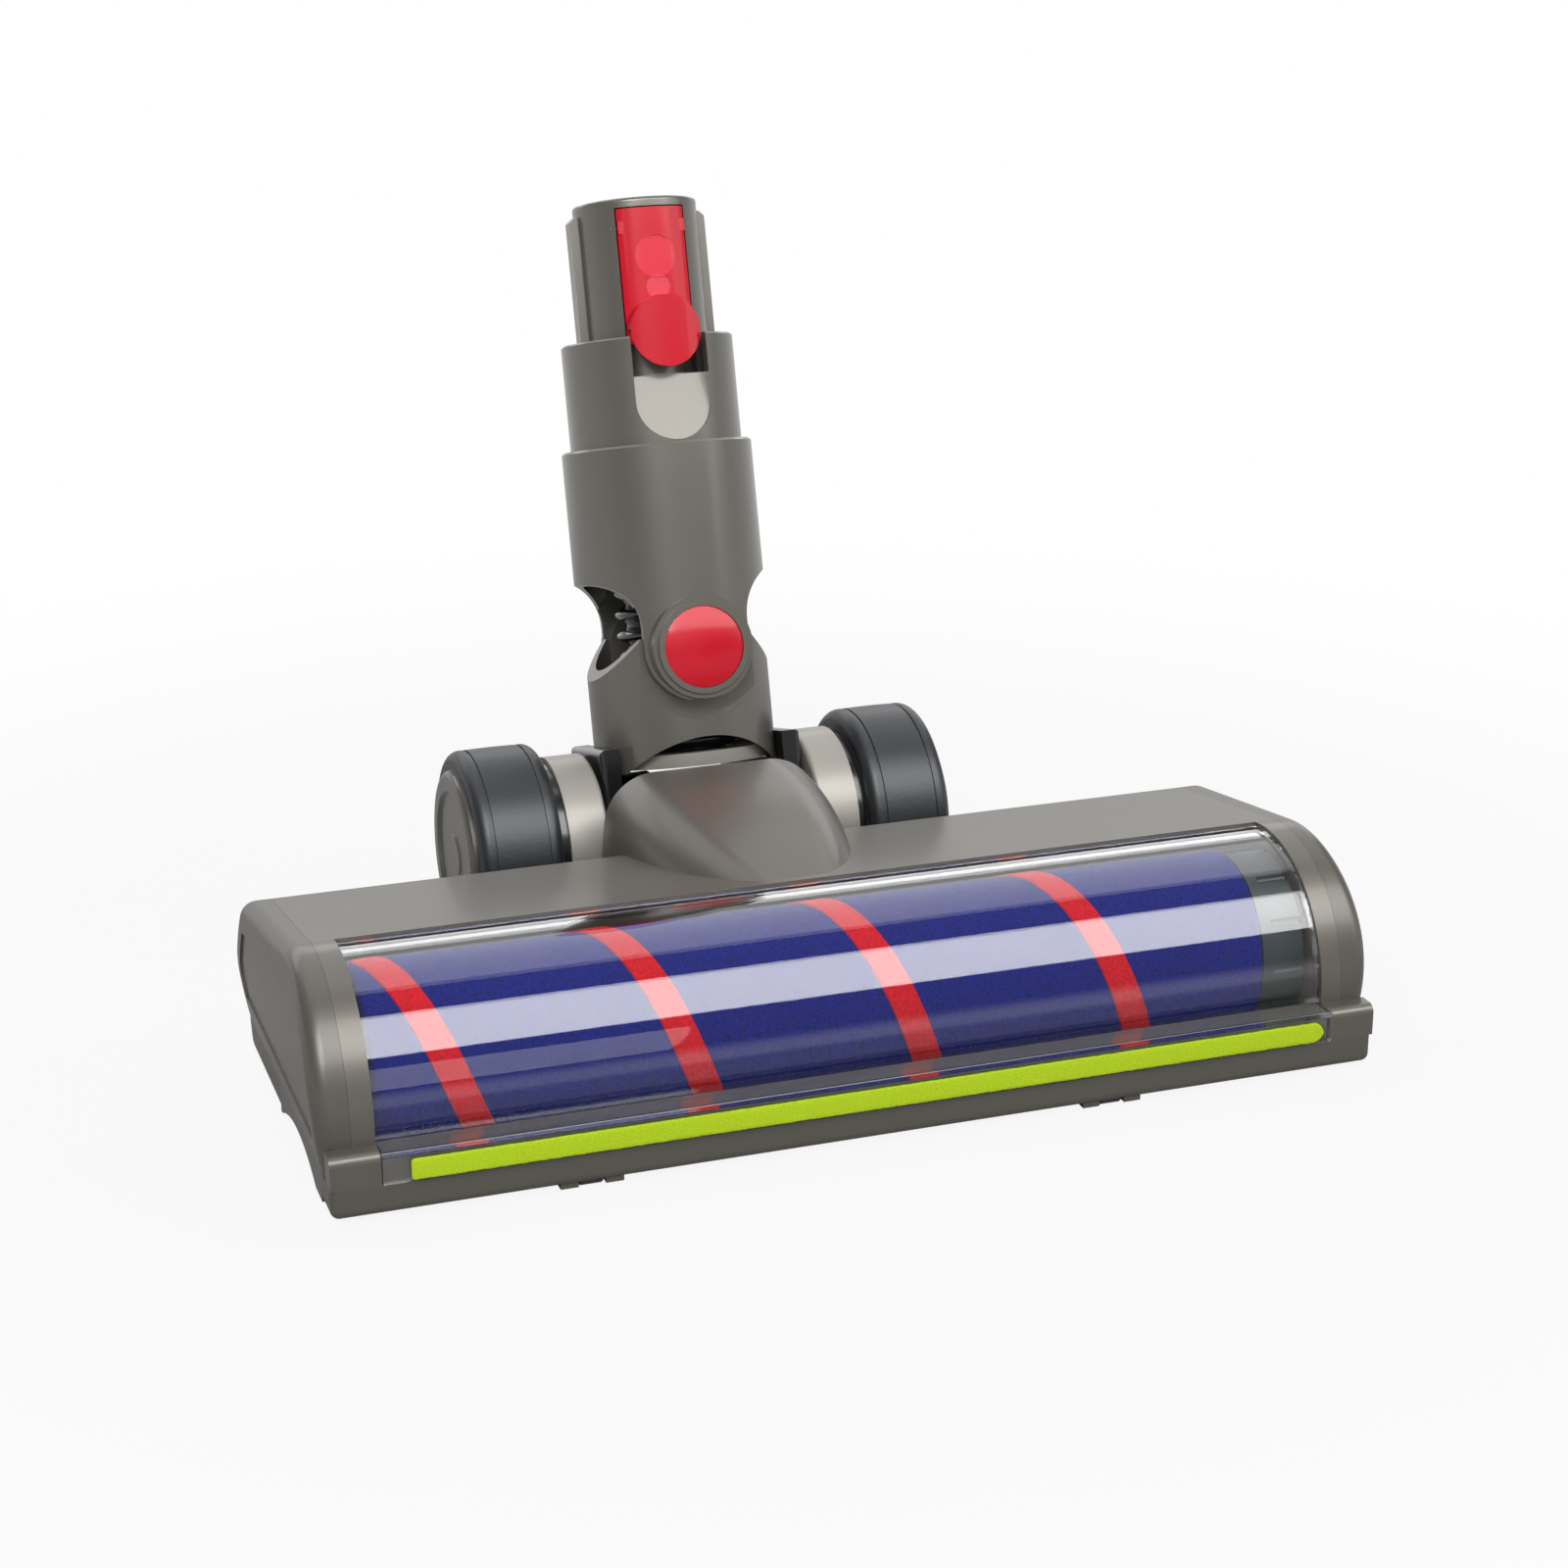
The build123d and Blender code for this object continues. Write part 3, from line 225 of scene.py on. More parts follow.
soft_box("key_left", (-0.55, -1.0, 1.15), HEAD_MIDDLE, 0.8, 0.7, 12)
soft_box("fill_right", (1.3, -0.6, 0.8), HEAD_MIDDLE, 0.8, 0.9, 5)
front = soft_box("front_fill", (-0.2, -1.5, 0.55), HEAD_MIDDLE, 1.2, 0.5, 4.5)
front.visible_glossy = False
band = along_roller("window_band", 55.0, 0.8, 0.27, 1.3, 0.5, 13.0)
strip = along_roller("window_strip", 156.0, 1.0, 0.15, 1.8, 0.26, 3.6)
for reflected in (band, strip):
    reflected.visible_diffuse = False
along_roller("window_top", 120.0, 0.95, 0.1, 1.6, 0.8, 5.5)

# %% [markdown]
# ## Finishes
# Every moulded part has a fine grain that only shows in its highlights, so one shader group
# makes it: slow and fast noise on Object coordinates, which gives a colour that drifts a
# little, a roughness, and a height for a bump. A second group makes the short fibres of nap
# and felt, and a third a round spot with a soft edge.

# %% Grain group
GRAIN_SCALE = 900.0
DRIFT_SCALE = 24.0


def make_group(name, inputs, outputs):
    """An empty shader group with named sockets, and its two end nodes."""
    group = bpy.data.node_groups.new(name, "ShaderNodeTree")
    for label, kind, value in inputs:
        socket = group.interface.new_socket(label, in_out="INPUT", socket_type=kind)
        socket.default_value = value
    for label, kind in outputs:
        group.interface.new_socket(label, in_out="OUTPUT", socket_type=kind)
    return group, group.nodes.new("NodeGroupInput"), group.nodes.new("NodeGroupOutput")


def scaled_colour(group, colour, amount):
    """The colour times the amount."""
    tint = group.nodes.new("ShaderNodeVectorMath")
    tint.operation = "SCALE"
    group.links.new(colour, tint.inputs[0])
    group.links.new(amount, tint.inputs["Scale"])
    return tint.outputs[0]


def make_grain():
    """Moulded grain: colour * (1 + drift * slow noise), roughness + spread * noise, and a height."""
    group, start, end = make_group(
        "moulded_grain",
        [
            ("Colour", "NodeSocketColor", (0.5, 0.5, 0.5, 1)),
            ("Drift", "NodeSocketFloat", 0.08),
            ("Roughness", "NodeSocketFloat", 0.4),
            ("Spread", "NodeSocketFloat", 0.08),
            ("Scale", "NodeSocketFloat", GRAIN_SCALE),
        ],
        [
            ("Colour", "NodeSocketColor"),
            ("Roughness", "NodeSocketFloat"),
            ("Height", "NodeSocketFloat"),
        ],
    )
    new, link = group.nodes.new, group.links.new
    place = new("ShaderNodeTexCoord")
    slow = new("ShaderNodeTexNoise")
    slow.inputs["Scale"].default_value = DRIFT_SCALE
    slow.inputs["Detail"].default_value = 4.0
    fast = new("ShaderNodeTexNoise")
    fast.inputs["Detail"].default_value = 2.0
    link(place.outputs["Object"], slow.inputs["Vector"])
    link(place.outputs["Object"], fast.inputs["Vector"])
    link(start.outputs["Scale"], fast.inputs["Scale"])
    centred = math_node(group, "SUBTRACT", slow.outputs["Fac"], 0.5)
    amount = math_node(group, "MULTIPLY_ADD", centred, start.outputs["Drift"], 1.0)
    link(scaled_colour(group, start.outputs["Colour"], amount), end.inputs["Colour"])
    rough = math_node(
        group, "MULTIPLY_ADD", centred, start.outputs["Spread"], start.outputs["Roughness"]
    )
    link(rough, end.inputs["Roughness"])
    link(fast.outputs["Fac"], end.inputs["Height"])
    return group


grain = make_grain()
print("group", grain.name)

# %% Pile group
PILE_LOW = 0.3
PILE_HIGH = 0.7
PILE_BRIGHT = 1.15


def make_pile():
    """Short fibres: colour times a factor that rises with the noise, from Dark at PILE_LOW to
    PILE_BRIGHT at PILE_HIGH. The height is the same noise."""
    group, start, end = make_group(
        "pile",
        [
            ("Colour", "NodeSocketColor", (0.5, 0.5, 0.5, 1)),
            ("Dark", "NodeSocketFloat", 0.55),
            ("Scale", "NodeSocketFloat", 1600.0),
        ],
        [("Colour", "NodeSocketColor"), ("Height", "NodeSocketFloat")],
    )
    new, link = group.nodes.new, group.links.new
    place = new("ShaderNodeTexCoord")
    fibre = new("ShaderNodeTexNoise")
    fibre.inputs["Detail"].default_value = 3.0
    link(place.outputs["Object"], fibre.inputs["Vector"])
    link(start.outputs["Scale"], fibre.inputs["Scale"])
    shade = new("ShaderNodeMapRange")
    shade.inputs["From Min"].default_value = PILE_LOW
    shade.inputs["From Max"].default_value = PILE_HIGH
    shade.inputs["To Max"].default_value = PILE_BRIGHT
    link(fibre.outputs["Fac"], shade.inputs["Value"])
    link(start.outputs["Dark"], shade.inputs["To Min"])
    tinted = scaled_colour(group, start.outputs["Colour"], shade.outputs["Result"])
    link(tinted, end.inputs["Colour"])
    link(fibre.outputs["Fac"], end.inputs["Height"])
    return group


pile = make_pile()
print("group", pile.name)

# %% Spot group


def make_spot():
    """A round mask on Object coordinates: 1 within Radius of Centre, fading to 0 over Edge."""
    group, start, end = make_group(
        "spot",
        [
            ("Centre", "NodeSocketVector", (0, 0, 0)),
            ("Radius", "NodeSocketFloat", 5.0 * MM),
            ("Edge", "NodeSocketFloat", 0.5 * MM),
        ],
        [("Mask", "NodeSocketFloat")],
    )
    new, link = group.nodes.new, group.links.new
    place = new("ShaderNodeTexCoord")
    gap = new("ShaderNodeVectorMath")
    gap.operation = "DISTANCE"
    link(place.outputs["Object"], gap.inputs[0])
    link(start.outputs["Centre"], gap.inputs[1])
    outer = math_node(group, "ADD", start.outputs["Radius"], start.outputs["Edge"])
    fade = new("ShaderNodeMapRange")
    fade.inputs["To Min"].default_value = 1.0
    fade.inputs["To Max"].default_value = 0.0
    link(gap.outputs["Value"], fade.inputs["Value"])
    link(start.outputs["Radius"], fade.inputs["From Min"])
    link(outer, fade.inputs["From Max"])
    link(fade.outputs["Result"], end.inputs["Mask"])
    return group


spot = make_spot()
print("group", spot.name)

# %% Material makers
GRAIN_DEPTH = 0.4 * MM
FIBRE_DEPTH = 0.6 * MM
FIBRE_BUMP = 0.5


def new_material(name):
    """A material with its Principled shader and the node tree's two makers."""
    material = bpy.data.materials.new(name)
    material.use_nodes = True
    shader = material.node_tree.nodes["Principled BSDF"]
    return material, shader, material.node_tree.nodes.new, material.node_tree.links.new


def place_group(material, group, **values):
    """A node that holds the group, with these values on its inputs."""
    holder = material.node_tree.nodes.new("ShaderNodeGroup")
    holder.node_tree = group
    for label, value in values.items():
        holder.inputs[label].default_value = value
    return holder


def raise_surface(material, shader, height, strength, depth):
    """Feeds a height into the shader's normal through a bump."""
    raised = material.node_tree.nodes.new("ShaderNodeBump")
    raised.inputs["Strength"].default_value = strength
    raised.inputs["Distance"].default_value = depth
    material.node_tree.links.new(height, raised.inputs["Height"])
    material.node_tree.links.new(raised.outputs["Normal"], shader.inputs["Normal"])


def moulded(
    name, colour, roughness, bump=0.04, metallic=0.0, coat=0.0, drift=0.08, shine=0.5, spots=()
):
    """A moulded finish. Each spot is (centre, radius, colour): a round place with another colour."""
    material, shader, new, link = new_material(name)
    source = place_group(
        material, grain, Colour=linear(*colour), Roughness=roughness, Drift=drift
    )
    last = source.outputs["Colour"]
    for centre, radius, other in spots:
        mask = place_group(material, spot, Centre=centre, Radius=radius)
        layer = new("ShaderNodeMix")
        layer.data_type = "RGBA"
        layer.inputs["B"].default_value = linear(*other)
        link(mask.outputs["Mask"], layer.inputs["Factor"])
        link(last, layer.inputs["A"])
        last = layer.outputs["Result"]
    link(last, shader.inputs["Base Color"])
    link(source.outputs["Roughness"], shader.inputs["Roughness"])
    raise_surface(material, shader, source.outputs["Height"], bump, GRAIN_DEPTH)
    shader.inputs["Metallic"].default_value = metallic
    shader.inputs["Coat Weight"].default_value = coat
    shader.inputs["Coat Roughness"].default_value = 0.12
    shader.inputs["Specular IOR Level"].default_value = shine
    return material


def fibrous(name, colour, dark, sheen, scale):
    """Nap or felt: the pile group's colour and bump, a rough base, and a sheen of its own colour."""
    material, shader, _, link = new_material(name)
    source = place_group(material, pile, Colour=linear(*colour), Dark=dark, Scale=scale)
    link(source.outputs["Colour"], shader.inputs["Base Color"])
    raise_surface(material, shader, source.outputs["Height"], FIBRE_BUMP, FIBRE_DEPTH)
    shader.inputs["Roughness"].default_value = 0.9
    shader.inputs["Specular IOR Level"].default_value = 0.1
    shader.inputs["Sheen Weight"].default_value = sheen
    shader.inputs["Sheen Roughness"].default_value = 0.4
    shader.inputs["Sheen Tint"].default_value = linear(*colour)
    return material


print("material makers ready")

# %% [markdown]
# ## Moulded plastics
# Most of the head is a warm grey plastic with a faint metallic sheen. The wheel barrels are
# painted silver, the small moving parts are black, and the latch is red. Each finish could be
# its own drawing, but they differ by a few numbers only, so one maker gives them all. The
# latch has two lighter pink places, which are painted highlights where its dimple and a flat
# patch below it catch the light. They are set by the neck's own frame: x to the right, y to the
# back, and s up its leaning axis.

# %% Places on the neck
WHEEL_Y = 40.8332
WHEEL_Z = 27.2
NECK_LEAN = math.radians(16.0)


def on_neck(x, y, s):
    """Points x, y, s of the neck's own frame, turned back by its lean, in metres."""
    x, y, s = np.broadcast_arrays(x, y, s)
    back = WHEEL_Y + y * math.cos(NECK_LEAN) + s * math.sin(NECK_LEAN)
    height = WHEEL_Z - y * math.sin(NECK_LEAN) + s * math.cos(NECK_LEAN)
    return np.stack([x, back, height], axis=-1) * MM


print("the neck's foot is at", on_neck(0, 0, 0).round(4).tolist())

# %% Moulded finishes
DIMPLE_CENTRE = Vector(on_neck(0, -16.5, 148.4))
PATCH_CENTRE = Vector(on_neck(0, -16.5, 140.5))
# Painted highlights: the latch's dimple and the flat patch below it are coloured a lighter pink
# where they catch the light.
LATCH_PAINTED_HIGHLIGHTS = [
    (DIMPLE_CENTRE, 5.2 * MM, (232, 44, 64)),
    (PATCH_CENTRE, 3.0 * MM, (232, 70, 88)),
]

housing_grey = moulded("housing_grey", (97, 93, 86), 0.36, metallic=0.25, coat=0.15)
neck_grey = moulded("neck_grey", (102, 99, 92), 0.3, metallic=0.3, coat=0.2)
cover_grey = moulded("cover_grey", (92, 88, 81), 0.4, metallic=0.25, coat=0.12)
sole_grey = moulded("sole_grey", (92, 89, 82), 0.4, metallic=0.2)
end_grey = moulded("end_grey", (88, 84, 77), 0.36, metallic=0.12, coat=0.1)
black = moulded("black_moulding", (20, 21, 24), 0.24, coat=0.4)
silver = moulded("silver_paint", (158, 154, 147), 0.45, metallic=0.2, drift=0.04, coat=0.1)
tyre_rubber = moulded("tyre_rubber", (30, 34, 39), 0.42, bump=0.12)
hub_grey = moulded("hub_grey", (88, 85, 80), 0.34, metallic=0.3, coat=0.2)
cuff_pale = moulded("cuff_pale", (150, 146, 138), 0.42)
steel = moulded("turned_steel", (190, 190, 192), 0.3, metallic=1.0)
brass = moulded("contact_brass", (212, 176, 104), 0.3, metallic=1.0)
belt_rubber = moulded("belt_rubber", (30, 30, 30), 0.6)
acetal = moulded("acetal", (205, 203, 196), 0.35)
board_green = moulded("board_green", (24, 92, 52), 0.4)
motor_can = moulded("motor_can", (120, 120, 124), 0.3, metallic=0.9)
coupling_green = moulded("coupling_green", (26, 38, 37), 0.4)
hose_black = moulded("hose_black", (16, 17, 20), 0.2, coat=0.6)
red_gloss = moulded(
    "red_gloss", (212, 0, 34), 0.3, coat=0.3, drift=0.03, shine=0.2, spots=LATCH_PAINTED_HIGHLIGHTS
)
print("moulded finishes", len(bpy.data.materials))

# %% [markdown]
# ## Nap and felt
# The roller wears a short plush, and the head has two felt strips. Hair could be grown on them,
# but at this distance their fibres read as light and dark specks on a matt ground. So noise
# draws them, with a little sheen at the rim.

# %% Nap and felt
nap_blue = fibrous("nap_blue", (6, 26, 132), dark=0.45, sheen=0.05, scale=1500.0)
nap_red = fibrous("nap_red", (226, 2, 30), dark=0.7, sheen=0.08, scale=1500.0)
felt_green = fibrous("felt_green", (188, 218, 40), dark=0.88, sheen=0.1, scale=2600.0)
felt_grey = fibrous("felt_grey", (70, 70, 72), dark=0.6, sheen=0.2, scale=2200.0)
print("finishes", len(bpy.data.materials))

# %% [markdown]
# ## Clear window
# The window is a clear moulding, and the roller shows through its reflections. A faint
# see-through film would be simpler, but only a wall that bends light shows its thick edges.
# Light Path lets the rays that light things pass straight through, or the roller would be dark.

# %% Clear window


def make_clear():
    """Clear plastic: a refracting wall that casts no dark shadow, since rays of light pass it."""
    material, shader, new, link = new_material("clear_window")
    tree = material.node_tree
    shader.inputs["Base Color"].default_value = (0.97, 0.97, 0.985, 1)
    shader.inputs["Roughness"].default_value = 0.015
    shader.inputs["IOR"].default_value = 1.5
    shader.inputs["Transmission Weight"].default_value = 1.0
    passing = new("ShaderNodeBsdfTransparent")
    passing.inputs["Color"].default_value = (0.95, 0.95, 0.96, 1)
    either = new("ShaderNodeMixShader")
    link(ray_kinds(tree, "Is Shadow Ray", "Is Diffuse Ray"), either.inputs["Fac"])
    link(shader.outputs["BSDF"], either.inputs[1])
    link(passing.outputs["BSDF"], either.inputs[2])
    link(either.outputs["Shader"], tree.nodes["Material Output"].inputs["Surface"])
    return material


clear = make_clear()
print("window material", clear.name)

# %% [markdown]
# ## Finishes onto the nodes
# Each node names a material slot in the part's record, so a table from slot to finish dresses
# all of them. Two nodes get another finish than their slot's: the duct cover is a little
# darker than the housing, and the latch's pin ends must not glint beside the red latch.

# %% Finishes onto the nodes
finish_of = {
    "housing": housing_grey,
    "sole": sole_grey,
    "end_plate": end_grey,
    "window": clear,
    "green_felt": felt_green,
    "grey_felt": felt_grey,
    "nap": nap_blue,
    "stripe": nap_red,
    "core": black,
    "coupling": coupling_green,
    "dark": black,
    "silver": silver,
    "tyre": tyre_rubber,
    "hub": hub_grey,
    "neck": neck_grey,
    "cuff": cuff_pale,
    "hose": hose_black,
    "red": red_gloss,
    "steel": steel,
    "spring_steel": steel,
    "contact": brass,
    "belt": belt_rubber,
    "pulley": acetal,
    "motor": motor_can,
    "board": board_green,
}
own_finish = {"duct_cover": cover_grey, "latch_pin": neck_grey}
slot_of = {part["node"]: part["material_slot"] for part in frame["record"]["subparts"]}
for name, node in nodes.items():
    for slot in node.material_slots:
        slot.material = own_finish.get(name, finish_of[slot_of[name]])
print("nodes with finishes", len(nodes))

# %% [markdown]
# ## Soft pieces
# The nap, its stripe, the felts and the hose need a finer surface than their solids have. Each
# is a grid of points closed into a solid: the rows follow the piece, the columns go round it.
# Sculpting could give the same forms, but a function gives them again on any run.

# %% Grid helpers
GRID_SHARP = math.radians(50.0)


def solid_grid(name, points, material, ends="ring"):
    """A closed mesh from points[row, column, xyz]. With ends="ring" the last row joins the first,
    and with ends="flat" the first and last rows become faces. The faces point outwards: the
    volume, a sum of a . (b x c) over the faces, comes out positive."""
    rows, columns = points.shape[:2]
    index = np.arange(rows * columns).reshape(rows, columns)
    upper = index if ends == "ring" else index[:-1]
    lower = np.roll(index, -1, axis=0) if ends == "ring" else index[1:]
    around = [upper, np.roll(upper, -1, axis=1), np.roll(lower, -1, axis=1), lower]
    quads = np.stack(around, axis=-1).reshape(-1, 4)
    faces = [tuple(quad) for quad in quads.tolist()]
    if ends == "flat":
        faces += [tuple(index[0][::-1].tolist()), tuple(index[-1].tolist())]
    flat = points.reshape(-1, 3)
    a, b, c = (flat[quads[:, k]] for k in range(3))
    if np.einsum("ij,ij->i", a, np.cross(b, c)).sum() < 0:
        faces = [face[::-1] for face in faces]
    mesh = bpy.data.meshes.new(name)
    mesh.from_pydata(flat.tolist(), [], faces)
    mesh.polygons.foreach_set("use_smooth", np.full(len(faces), True))
    mesh.set_sharp_from_angle(angle=GRID_SHARP)
    mesh.materials.append(material)
    piece = bpy.data.objects.new(name, mesh)
    scene.collection.objects.link(piece)
    print(name, len(faces), "faces")
    return piece


def stand_in(piece, body, node):
    """The piece rides on the body, if one is given, and takes the node's place: the node is hidden.
    """
    if body:
        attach(piece, body)
    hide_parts(node)


SEED = 4
draw = np.random.default_rng(SEED)

# %% [markdown]
# ## Roller nap
# The blue plush is a sleeve on the roller's tube, with rounded ends. Its outline is a profile
# turned round the roller's axis, and each point of it sinks by a small random depth, so the
# light breaks up on it as on real pile.

# %% Roller nap
ROLLER_Y = -64.7668
ROLLER_Z = 22.8
NAP_RADIUS = 21.95
NAP_INNER = 17.05
NAP_ROUND = 1.2
ROUND_STEPS = 5
NAP_STATIONS = 328
NAP_COLUMNS = 220
PILE_DEPTH = 0.22
nap_low, nap_high = (corner[0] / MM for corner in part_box("roller_nap"))


def on_roller(x, angle, radius):
    """Points at x along the roller, angle round it from straight up towards the back, in metres."""
    x, angle, radius = np.broadcast_arrays(x, angle, radius)
    y = ROLLER_Y + radius * np.sin(angle)
    z = ROLLER_Z + radius * np.cos(angle)
    return np.stack([x, y, z], axis=-1) * MM


quarter = np.linspace(0, math.pi / 2, ROUND_STEPS)
corner_x = nap_low + NAP_ROUND * (1 - np.sin(quarter))
corner_r = NAP_RADIUS - NAP_ROUND * (1 - np.cos(quarter))
middle_x = np.linspace(nap_low + NAP_ROUND, nap_high - NAP_ROUND, NAP_STATIONS + 2)[1:-1]
nap_x = np.concatenate(
    [corner_x[::-1], middle_x, nap_low + nap_high - corner_x, [nap_high, nap_low]]
)
nap_r = np.concatenate(
    [corner_r[::-1], np.full(NAP_STATIONS, NAP_RADIUS), corner_r, [NAP_INNER, NAP_INNER]]
)
turns = np.linspace(0, 2 * math.pi, NAP_COLUMNS, endpoint=False)
pile_noise = PILE_DEPTH * draw.random((len(nap_x), len(turns)))
pile_noise[-2:] = 0
nap_points = on_roller(nap_x[:, None], turns[None, :], nap_r[:, None] - pile_noise)
nap = solid_grid("nap_pile", nap_points, nap_blue)
stand_in(nap, "roller", "roller_nap")

# %% [markdown]
# ## Roller stripe
# A red strip of stiffer pile winds round the roller in a helix, and stands a little proud of
# the blue. A painted stripe would lie flat, so it is a low crowned section, carried along the
# helix: the angle falls evenly as x grows, and the section lies square to the winding.

# %% Roller stripe
STRIPE_WIDTH = 6.9
STRIPE_PITCH = 53.0
# The stripe starts 167 degrees round from straight down, and angles here count from straight up.
STRIPE_START = math.radians(180.0 - 167.0)
STRIPE_TOP = 22.35
STRIPE_FOOT = 21.6
STRIPE_STATIONS = 420
STRIPE_FUZZ = 0.16
stripe_low = nap_low + STRIPE_WIDTH / 2 + 1
stripe_length = nap_high - nap_low - STRIPE_WIDTH - 2
steps = np.linspace(0, 1, STRIPE_STATIONS)[:, None]
wind = 2 * math.pi * stripe_length / STRIPE_PITCH * steps
slope = math.atan2(STRIPE_PITCH, 2 * math.pi * STRIPE_TOP)
across = np.array([-0.5, -0.47, -0.4, -0.2, 0.0, 0.2, 0.4, 0.47, 0.5, 0.5, -0.5]) * STRIPE_WIDTH
crown = np.array([0.35, 0.8, 0.97, 1.0, 1.0, 1.0, 0.97, 0.8, 0.35, 0.0, 0.0])
fuzz = STRIPE_FUZZ * draw.random((STRIPE_STATIONS, len(across))) * (crown > 0.9)
stripe_x = stripe_low + stripe_length * steps + across * math.cos(slope)
stripe_angle = STRIPE_START - wind + across * math.sin(slope) / STRIPE_TOP
stripe_r = STRIPE_FOOT + (STRIPE_TOP - STRIPE_FOOT) * crown - fuzz
stripe_points = on_roller(stripe_x, stripe_angle, stripe_r)
stripe = solid_grid("stripe_pile", stripe_points, nap_red, ends="flat")
stand_in(stripe, "roller", "roller_stripe")

# %% [markdown]
# ## Felts
# A yellow-green felt strip runs under the window's ledge, and a grey one under the sole. Each is
# a rounded square section along x, which grows to full size at its left end. The front one
# closes in a half round at its right end.

# %% Felts
FELT_STATIONS = 360
FELT_COLUMNS = 28
FELT_SQUARE = 0.45
FELT_WAVE = 0.06
FELT_SOFT = 0.3
FELT_TAPER = 0.15
LAST_STATION = 0.985


def squared(wave):
    """A sine or cosine bent towards a square wave: sign(w) * |w| ** FELT_SQUARE."""
    return np.sign(wave) * np.abs(wave) ** FELT_SQUARE


def felt_strip(name, node, material, round_right=False):
    """A felt strip along x in the node's own box, with softened edges and a slightly wavy face."""
    low, high = (np.array(corner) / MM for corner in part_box(node))
    depth, height = high[1] - low[1], high[2] - low[2]
    soft = min(depth, height) * FELT_SOFT
    angles = np.linspace(0, 2 * math.pi, FELT_COLUMNS, endpoint=False) + math.pi / FELT_COLUMNS
    stations = np.linspace(low[0], high[0], FELT_STATIONS)
    shrink = np.clip((stations - low[0]) / soft, 0.0, 1.0) * FELT_TAPER + (1 - FELT_TAPER)
    upright = shrink
    if round_right:
        beyond = np.clip((stations - (high[0] - height / 2)) / (height / 2), 0.0, LAST_STATION)
        upright = shrink * np.sqrt(1 - beyond ** 2)
    waves = 1 - FELT_WAVE * draw.random((FELT_STATIONS, FELT_COLUMNS))
    y = (low[1] + high[1]) / 2 + squared(np.cos(angles)) * depth / 2 * shrink[:, None] * waves
    z = (low[2] + high[2]) / 2 + squared(np.sin(angles)) * height / 2 * upright[:, None] * waves
    points = np.stack(np.broadcast_arrays(stations[:, None], y, z), axis=-1) * MM
    strip = solid_grid(name, points, material, ends="flat")
    stand_in(strip, "head", node)


felt_strip("front_felt_strip", "front_felt", felt_green, round_right=True)
felt_strip("rear_felt_strip", "rear_felt", felt_grey)

# %% [markdown]
# ## Red pieces
# The latch and the red pivot cap have the right shape already, but a node's mesh is loose
# triangles, which leaves dots of light at their tips. So a copy of each has its doubles
# merged, and only edges sharper than a set angle stay sharp.

# %% Red pieces
RED_SHARP = math.radians(35.0)
MERGE_GAP = 1e-6


def merged_copy(node, body):
    """The node's own mesh with its split vertices joined, so that its shading runs smoothly."""
    mesh = nodes[node].data.copy()
    mesh.name = node + "_smooth"
    work = bmesh.new()
    work.from_mesh(mesh)
    bmesh.ops.remove_doubles(work, verts=work.verts, dist=MERGE_GAP)
    work.to_mesh(mesh)
    work.free()
    if "custom_normal" in mesh.attributes:
        mesh.attributes.remove(mesh.attributes["custom_normal"])
    mesh.polygons.foreach_set("use_smooth", np.full(len(mesh.polygons), True))
    mesh.set_sharp_from_angle(angle=RED_SHARP)
    piece = bpy.data.objects.new(node + "_smooth", mesh)
    scene.collection.objects.link(piece)
    stand_in(piece, body, node)
    print(piece.name, len(mesh.polygons), "faces")


merged_copy("front_pivot_cap", "neck_tube")
merged_copy("latch", "release_latch")

# %% [markdown]
# ## Hose
# The ribbed hose is a ring of rows up the neck's own axis: up the outside and down the inside.
# It is built where the neck stands now and stays there; the two ends of the bend are found,
# but nothing uses them.

# %% Hose
HOSE_LOW = 21.2
HOSE_TOP = 83.0
HOSE_RIBS = 11
HOSE_CREST = 14.95
HOSE_VALLEY = 12.2
HOSE_WALL = 0.9
HOSE_COLUMNS = 96
RIB_STATIONS = 12
BEND_START = 36.0
BEND_END = 62.0
CREST_POWER = 0.7
rise = np.linspace(0, 1, HOSE_RIBS * RIB_STATIONS + 1)
wave = (0.5 - 0.5 * np.cos(2 * math.pi * HOSE_RIBS * rise)) ** CREST_POWER
outer_s = HOSE_LOW + (HOSE_TOP - HOSE_LOW) * rise
outer_r = HOSE_VALLEY + (HOSE_CREST - HOSE_VALLEY) * wave
hose_s = np.concatenate([outer_s, outer_s[::-1]])[:, None]
hose_r = np.concatenate([outer_r, (outer_r - HOSE_WALL)[::-1]])[:, None]
rib_turns = np.linspace(0, 2 * math.pi, HOSE_COLUMNS, endpoint=False)
hose_points = on_neck(hose_r * np.cos(rib_turns), hose_r * np.sin(rib_turns), hose_s)
hose = solid_grid("ribbed_hose", hose_points, hose_black)
bend_start = Vector(on_neck(0, 0, BEND_START))
bend_end = Vector(on_neck(0, 0, BEND_END))
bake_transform(hose)
stand_in(hose, None, "hose")

# %% [markdown]
# ## Floor
# One large pale sheet. Near the head the camera sees a white glow with a tenth of the lit
# floor in it, which keeps the soft shadow, and mirrors see the lit floor. Further out both
# see the glow alone.

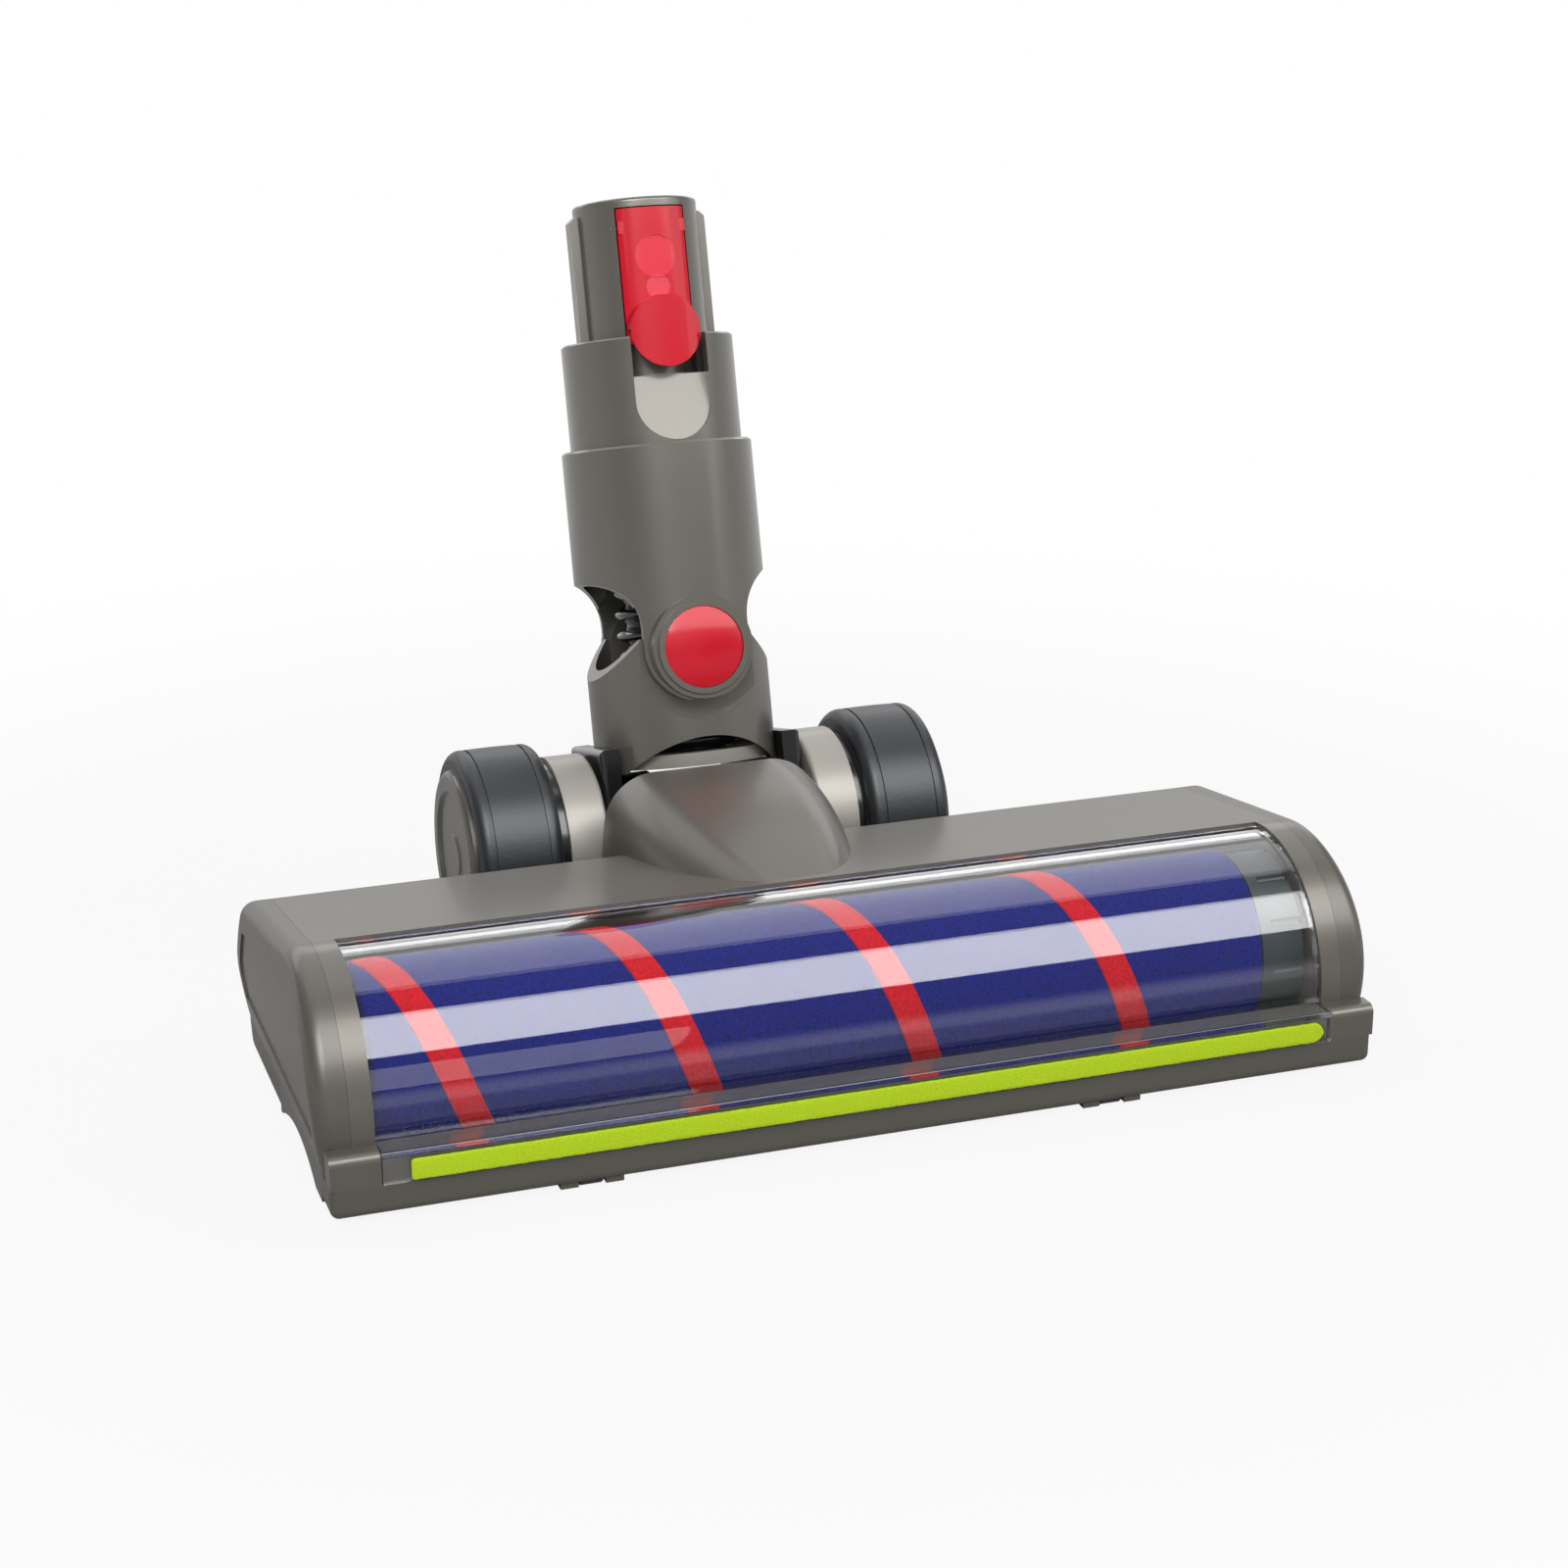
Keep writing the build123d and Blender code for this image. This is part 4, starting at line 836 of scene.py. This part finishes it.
# %% Floor
FLOOR_HALF = 9.0
NEAR_GLOW = 0.9
FLOOR_GREY = 0.5
CAMERA_FADE = (0.18, 0.45)
MIRROR_FADE = (0.25, 0.6)
corners = [(x * FLOOR_HALF, y * FLOOR_HALF, 0) for x, y in ((-1, -1), (1, -1), (1, 1), (-1, 1))]
floor_mesh = bpy.data.meshes.new("floor")
floor_mesh.from_pydata(corners, [], [(0, 1, 2, 3)])
floor = bpy.data.objects.new("floor", floor_mesh)
scene.collection.objects.link(floor)
floor_paint, floor_shader, new, link = new_material("floor_paint")
floor_shader.inputs["Base Color"].default_value = (FLOOR_GREY, FLOOR_GREY, FLOOR_GREY, 1)
floor_shader.inputs["Roughness"].default_value = 0.7
floor_shader.inputs["Specular IOR Level"].default_value = 0.0
glow = new("ShaderNodeEmission")
glow.inputs["Strength"].default_value = WHITE_SEEN
place = new("ShaderNodeTexCoord")
reach = new("ShaderNodeVectorMath")
reach.operation = "LENGTH"
link(place.outputs["Object"], reach.inputs[0])
tree = floor_paint.node_tree
to_camera = soft_step(tree, reach.outputs["Value"], *CAMERA_FADE, NEAR_GLOW, 1.0)
to_mirrors = soft_step(tree, reach.outputs["Value"], *MIRROR_FADE, 0.0, 1.0)
mirror_rays = ray_kinds(tree, "Is Glossy Ray", "Is Transmission Ray")
in_mirrors = math_node(tree, "MULTIPLY", to_mirrors, mirror_rays)
shown = math_node(
    tree, "MULTIPLY_ADD", to_camera, ray_kinds(tree, "Is Camera Ray"), in_mirrors
)
sheet = new("ShaderNodeMixShader")
link(shown, sheet.inputs["Fac"])
link(floor_shader.outputs["BSDF"], sheet.inputs[1])
link(glow.outputs["Emission"], sheet.inputs[2])
link(sheet.outputs["Shader"], tree.nodes["Material Output"].inputs["Surface"])
floor_mesh.materials.append(floor_paint)
print("floor", FLOOR_HALF * 2, "m wide")

# %% [markdown]
# ## The end

# %% The end
print("end of the script")
